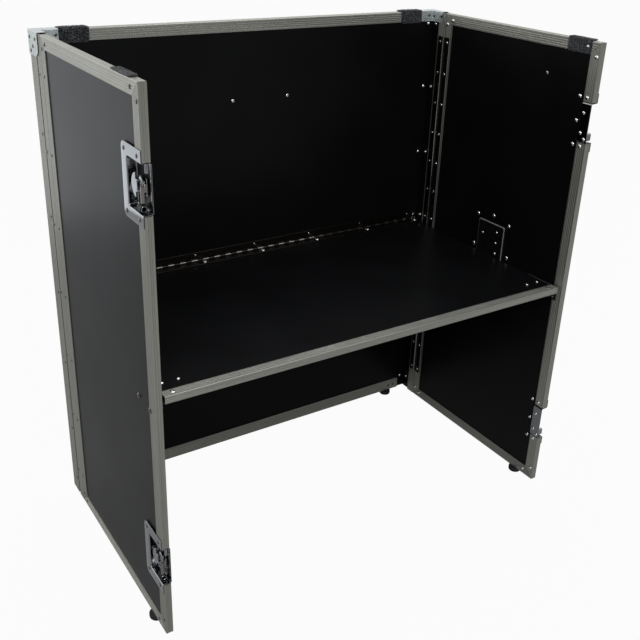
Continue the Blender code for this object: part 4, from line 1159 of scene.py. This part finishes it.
    def back_and_shelf(self, d):
        rail = high("shelf_front_rail")
        for side in (-1, 1):
            self.screw(BACK, (side * 0.060, d["back_board"], d["bottom"] + 0.758), -Y, 0.4 * side)
            for across in (0.3665, 0.3805):
                self.head(BACK, (side * across, d["back_inner"], d["bottom"] + 0.012), -Y)
            place = (side * (rail.x - 0.0165), low("shelf_front_rail").y + 0.011, rail.z)
            self.head("shelf", place, Z, 1.2, rise=0.0006)


class STAND_OT_feet(bpy.types.Operator):
    """Moulded rubber feet with their washers and screws"""
    bl_idname = "stand.feet"
    bl_label = "Feet"

    # (share of the radius, height), from the screw's hollow to the lower rim
    TREAD = ((0.42, 0.0045), (0.44, 0.0012), (0.52, 0.0002), (0.6, 0), (0.84, 0), (0.92, 0.0004),
             (0.97, 0.0013), (1, 0.003))

    def execute(self, context):
        for end in ("front", "rear"):
            for hand, _ in SIDES:
                self.foot(f"{end}_{hand}_foot", BACK if end == "rear" else f"{hand}_wing")
        return {"FINISHED"}

    def foot(self, node, body):
        lows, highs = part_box(node)
        radius, rise = (highs.x - lows.x) / 2, highs.z
        middle = (lows + highs) / 2
        floor = Vector((middle.x, middle.y, 0))
        bm = bmesh.new()
        profile = [(radius * share, up) for share, up in self.TREAD]
        profile += [(radius, rise - 0.0014), (radius * 0.97, rise - 0.0005), (radius * 0.9, rise)]
        turned(bm, profile, floor, Z, 40)
        add_piece(f"{node}_moulded", bm, "rubber", body, node)
        bm = bmesh.new()
        turned(bm, [(radius * 0.41, 0.0044), (radius * 0.41, 0.0038), (radius * 0.3, 0.0036)],
               floor, Z, 24)
        screw_head(bm, floor + Z * 0.0037, -Z, radius * 0.27, 0.0014)
        add_piece(f"{node}_screw", bm, "fasteners", body)


class STAND_OT_felt_pads(bpy.types.Operator):
    """Felt strips folded over the top edges, with a matted, fibrous surface"""
    bl_idname = "stand.felt_pads"
    bl_label = "Felt pads"

    CELL = 0.0022  # length of the mesh's cells along a strip
    ACROSS, CORNER, DOWN = 12, 5, 14  # cells over the edge, round the corner and down the face
    SEAT = 0.0012  # the strip's underside below the top of its solid
    FOLD = 0.0004  # fall of the underside round the corner

    def execute(self, context):
        d = datums()
        for hand, side in SIDES:
            self.pad(f"front_{hand}_pad", f"{hand}_wing", Y, -X * side, X * side * d["outer"],
                     1 + side)
            self.pad(f"rear_{hand}_pad", BACK, X, -Y, Y * d["back"], 5 + side)
        return {"FINISHED"}

    def pad(self, node, body, along, inward, base, seed):
        """A strip that runs over the top edge and down the inner face of its panel."""
        lows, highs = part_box(node)
        f = sizes("fittings")
        draw = random.Random(seed)
        start, length = lows.dot(along), (highs - lows).dot(along)
        width = (highs - lows).dot(Vector(map(abs, inward)))
        drop, thick = highs.z - lows.z, f.felt_thickness
        run = width - thick - f.felt_tangle
        # Distance over the edge, fall down the face, and share of the turn from one to the other
        path = [((width - thick) * k / self.ACROSS, 0, 0) for k in range(self.ACROSS + 1)]
        path += [(run, -(1 - math.cos(math.pi / 2 * k / self.CORNER)) * self.FOLD, k / self.CORNER)
                 for k in range(1, self.CORNER)]
        path += [(run, -self.FOLD - (drop - 0.001) * k / self.DOWN, 1)
                 for k in range(self.DOWN + 1)]
        count, last = max(8, round(length / self.CELL)), len(path) - 1
        bm = bmesh.new()
        rows_out, rows_in = [], []
        for i in range(count + 1):
            out, back = [], []
            for j, (u, w, turn) in enumerate(path):
                # The strip's lower end narrows to rounded corners, and its edges lie lower.
                fall = max(0, -w - (drop - 0.007)) / 0.006
                squeeze = 0.004 * (1 - math.sqrt(max(0, 1 - min(1, fall) ** 2)))
                place = start + squeeze + (length - 2 * squeeze) * i / count
                edge = min(i, count - i, j, last - j)
                lift = thick * (0.45, 0.85, 1)[min(edge, 2)]
                lift += draw.uniform(-1, 1) * f.felt_tangle * (0.4 if edge == 0 else 1)
                angle = turn * math.pi / 2
                normal = inward * math.sin(angle) + Z * math.cos(angle)
                seat = base + along * place + inward * u + Z * (highs.z - self.SEAT + w)
                out.append(bm.verts.new(seat + normal * lift))
                back.append(bm.verts.new(seat + normal * 0.0001))
            rows_out.append(out)
            rows_in.append(back)
        for i in range(count):
            for j in range(last):
                a, b = rows_out[i], rows_out[i + 1]
                bm.faces.new((a[j], a[j + 1], b[j + 1], b[j]))
                a, b = rows_in[i], rows_in[i + 1]
                bm.faces.new((a[j], b[j], b[j + 1], a[j + 1]))
            for j in (0, last):
                bm.faces.new((rows_out[i][j], rows_out[i + 1][j], rows_in[i + 1][j], rows_in[i][j]))
        for i in (0, count):
            for j in range(last):
                bm.faces.new((rows_out[i][j], rows_out[i][j + 1], rows_in[i][j + 1], rows_in[i][j]))
        bm.normal_update()
        self.fibres(bm, [v for row in rows_out for v in row if v.normal.z > 0.5], draw)
        piece = add_piece(f"{node}_felt", bm, "felt", body, node, sharp=None)

    def fibres(self, bm, roots, draw):
        """Short loose fibres standing out of the felt, each a slim closed spike."""
        for _ in range(sizes("fittings").felt_fibres):
            root = draw.choice(roots)
            normal = root.normal.copy()
            lean = Vector((draw.uniform(-1, 1), draw.uniform(-1, 1), draw.uniform(-1, 1)))
            tip_way = (normal + lean * 0.9).normalized()
            side = tip_way.orthogonal().normalized() * 0.00013
            turn = Matrix.Rotation(math.radians(120), 3, tip_way)
            foot = root.co - normal * 0.0002 + lean * 0.0006
            ring = [bm.verts.new(foot + way) for way in (side, turn @ side, turn @ turn @ side)]
            tip = bm.verts.new(foot + tip_way * draw.uniform(0.0008, 0.0019))
            for k in range(3):
                bm.faces.new((ring[k], ring[(k + 1) % 3], tip))
            bm.faces.new(ring)


class STAND_OT_stage(bpy.types.Operator):
    """Pale floor, soft studio lights and the camera at the photograph's angle"""
    bl_idname = "stand.stage"
    bl_label = "Stage"

    # name, place, target, width, height, watts
    LAMPS = (("key", (-1.2, -2.4, 2.7), (0, 0, 0.5), 2.4, 1.8, 76),
             ("fill", (2.6, -1.6, 1.8), (0, 0, 0.5), 1.6, 1.6, 8),
             ("top", (0.9, 0.3, 3.0), (0.1, 0, 0.4), 2.6, 1.4, 24),
             ("side", (-1.0, 1.42, 0.78), (-0.42, 0, 0.4), 1.7, 1.5, 6.8))

    def execute(self, context):
        scene = context.scene
        self.floor(scene)
        self.room(scene)
        self.lamps(scene)
        self.camera(scene)
        scene.view_settings.view_transform = "Standard"
        return {"FINISHED"}

    def floor(self, scene):
        """A wide pale floor that a camera sees as white, with the stand's shadow on it."""
        bm = bmesh.new()
        corners = [(-30, -30), (30, -30), (30, 30), (-30, 30)]
        bm.faces.new([bm.verts.new((x, y, 0)) for x, y in corners])
        mesh = bpy.data.meshes.new("floor")
        bm.to_mesh(mesh)
        bm.free()
        floor = bpy.data.objects.new("floor", mesh)
        scene.collection.objects.link(floor)
        material = bpy.data.materials.new("painted_pale_floor")
        material.use_nodes = True
        tree = material.node_tree
        tree.nodes.clear()
        paint = add_node(tree, "ShaderNodeBsdfDiffuse", {"Color": (*sizes("colours").floor, 1)})
        white = add_node(tree, "ShaderNodeEmission", {"Color": (1, 1, 1, 1), "Strength": 1})
        mix = add_node(tree, "ShaderNodeMixShader", None, {
            0: eye_rays(tree, 0.96, 0.15), 1: paint.outputs[0], 2: white.outputs[0]})
        add_node(tree, "ShaderNodeOutputMaterial", None, {"Surface": mix.outputs[0]})
        mesh.materials.append(material)

    def room(self, scene):
        """White to the camera's eye; to the light, bright behind the stand and dim in front."""
        scene.world = bpy.data.worlds.new("studio")
        scene.world.use_nodes = True
        tree = scene.world.node_tree
        tree.nodes.clear()
        place = add_node(tree, "ShaderNodeTexCoord")
        way = add_node(tree, "ShaderNodeSeparateXYZ", None, {0: place.outputs["Generated"]})
        room = add_node(tree, "ShaderNodeMapRange", {
            "From Min": -0.3, "From Max": 0.5, "To Min": 0.2, "To Max": 1},
            {"Value": way.outputs["Y"]})
        strength = add_node(tree, "ShaderNodeMath", {"operation": "MAXIMUM"},
                            {0: eye_rays(tree, 1, 0.2), 1: room.outputs["Result"]})
        sky = add_node(tree, "ShaderNodeBackground", {"Color": (1, 1, 1, 1)},
                       {"Strength": strength.outputs[0]})
        add_node(tree, "ShaderNodeOutputWorld", None, {"Surface": sky.outputs[0]})

    def lamps(self, scene):
        for name, place, target, width, height, watts in self.LAMPS:
            lamp = bpy.data.lights.new(name, "AREA")
            lamp.shape = "RECTANGLE"
            lamp.size, lamp.size_y = width, height
            lamp.energy = watts
            lamp.color = linear("f4f9ff")
            holder = bpy.data.objects.new(name, lamp)
            holder.location = place
            holder.rotation_mode = "QUATERNION"
            aim = Vector(target) - Vector(place)
            holder.rotation_quaternion = aim.to_track_quat("-Z", "Y")
            holder.visible_camera = False
            scene.collection.objects.link(holder)

    def camera(self, scene):
        """The camera that was fitted to the photograph."""
        lens = bpy.data.cameras.new("camera")
        lens.sensor_width, lens.lens = 36, 49.078
        lens.shift_x, lens.shift_y = 0.0071, -0.04436
        lens.clip_end = 60
        holder = bpy.data.objects.new("camera", lens)
        holder.location = (-0.8228, -1.25485, 1.13057)
        holder.rotation_euler = [math.radians(a) for a in (65.43427, -1.79887, -32.43835)]
        scene.collection.objects.link(holder)
        scene.camera = holder


class STAND_PT_panel(bpy.types.Panel):
    """Lists the stand's operators, sizes and colours"""
    bl_idname = "STAND_PT_panel"
    bl_label = "Stand"
    bl_space_type = "VIEW_3D"
    bl_region_type = "UI"
    bl_category = "Stand"

    def draw(self, context):
        for operator in OPERATORS:
            self.layout.operator(operator.bl_idname)
        for kind in GROUPS:
            column = self.layout.column()
            group = sizes(kind)
            for name in group.__annotations__:
                column.prop(group, name)


OPERATORS = (STAND_OT_edge_rails, STAND_OT_boards, STAND_OT_piano_hinges, STAND_OT_corner_braces,
             STAND_OT_turn_latches, STAND_OT_catches, STAND_OT_carrying_handle,
             STAND_OT_shelf_brackets, STAND_OT_shelf_fittings, STAND_OT_rivets, STAND_OT_feet,
             STAND_OT_felt_pads, STAND_OT_stage)
GROUPS = {"rails": StandRailSizes, "fasteners": StandFastenerSizes, "fittings": StandFittingSizes,
          "colours": StandColours}


def register():
    for kind, group in GROUPS.items():
        bpy.utils.register_class(group)
        setattr(bpy.types.Scene, f"stand_{kind}", bpy.props.PointerProperty(type=group))
    for cls in (*OPERATORS, STAND_PT_panel):
        bpy.utils.register_class(cls)


def unregister():
    for cls in reversed((*OPERATORS, STAND_PT_panel)):
        bpy.utils.unregister_class(cls)
    for kind, group in GROUPS.items():
        delattr(bpy.types.Scene, f"stand_{kind}")
        bpy.utils.unregister_class(group)


def main():
    register()
    FINISHES.update(make_materials())
    for operator in OPERATORS:
        module, name = operator.bl_idname.split(".")
        getattr(getattr(bpy.ops, module), name)()
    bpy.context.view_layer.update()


if __name__ == "__main__":
    main()
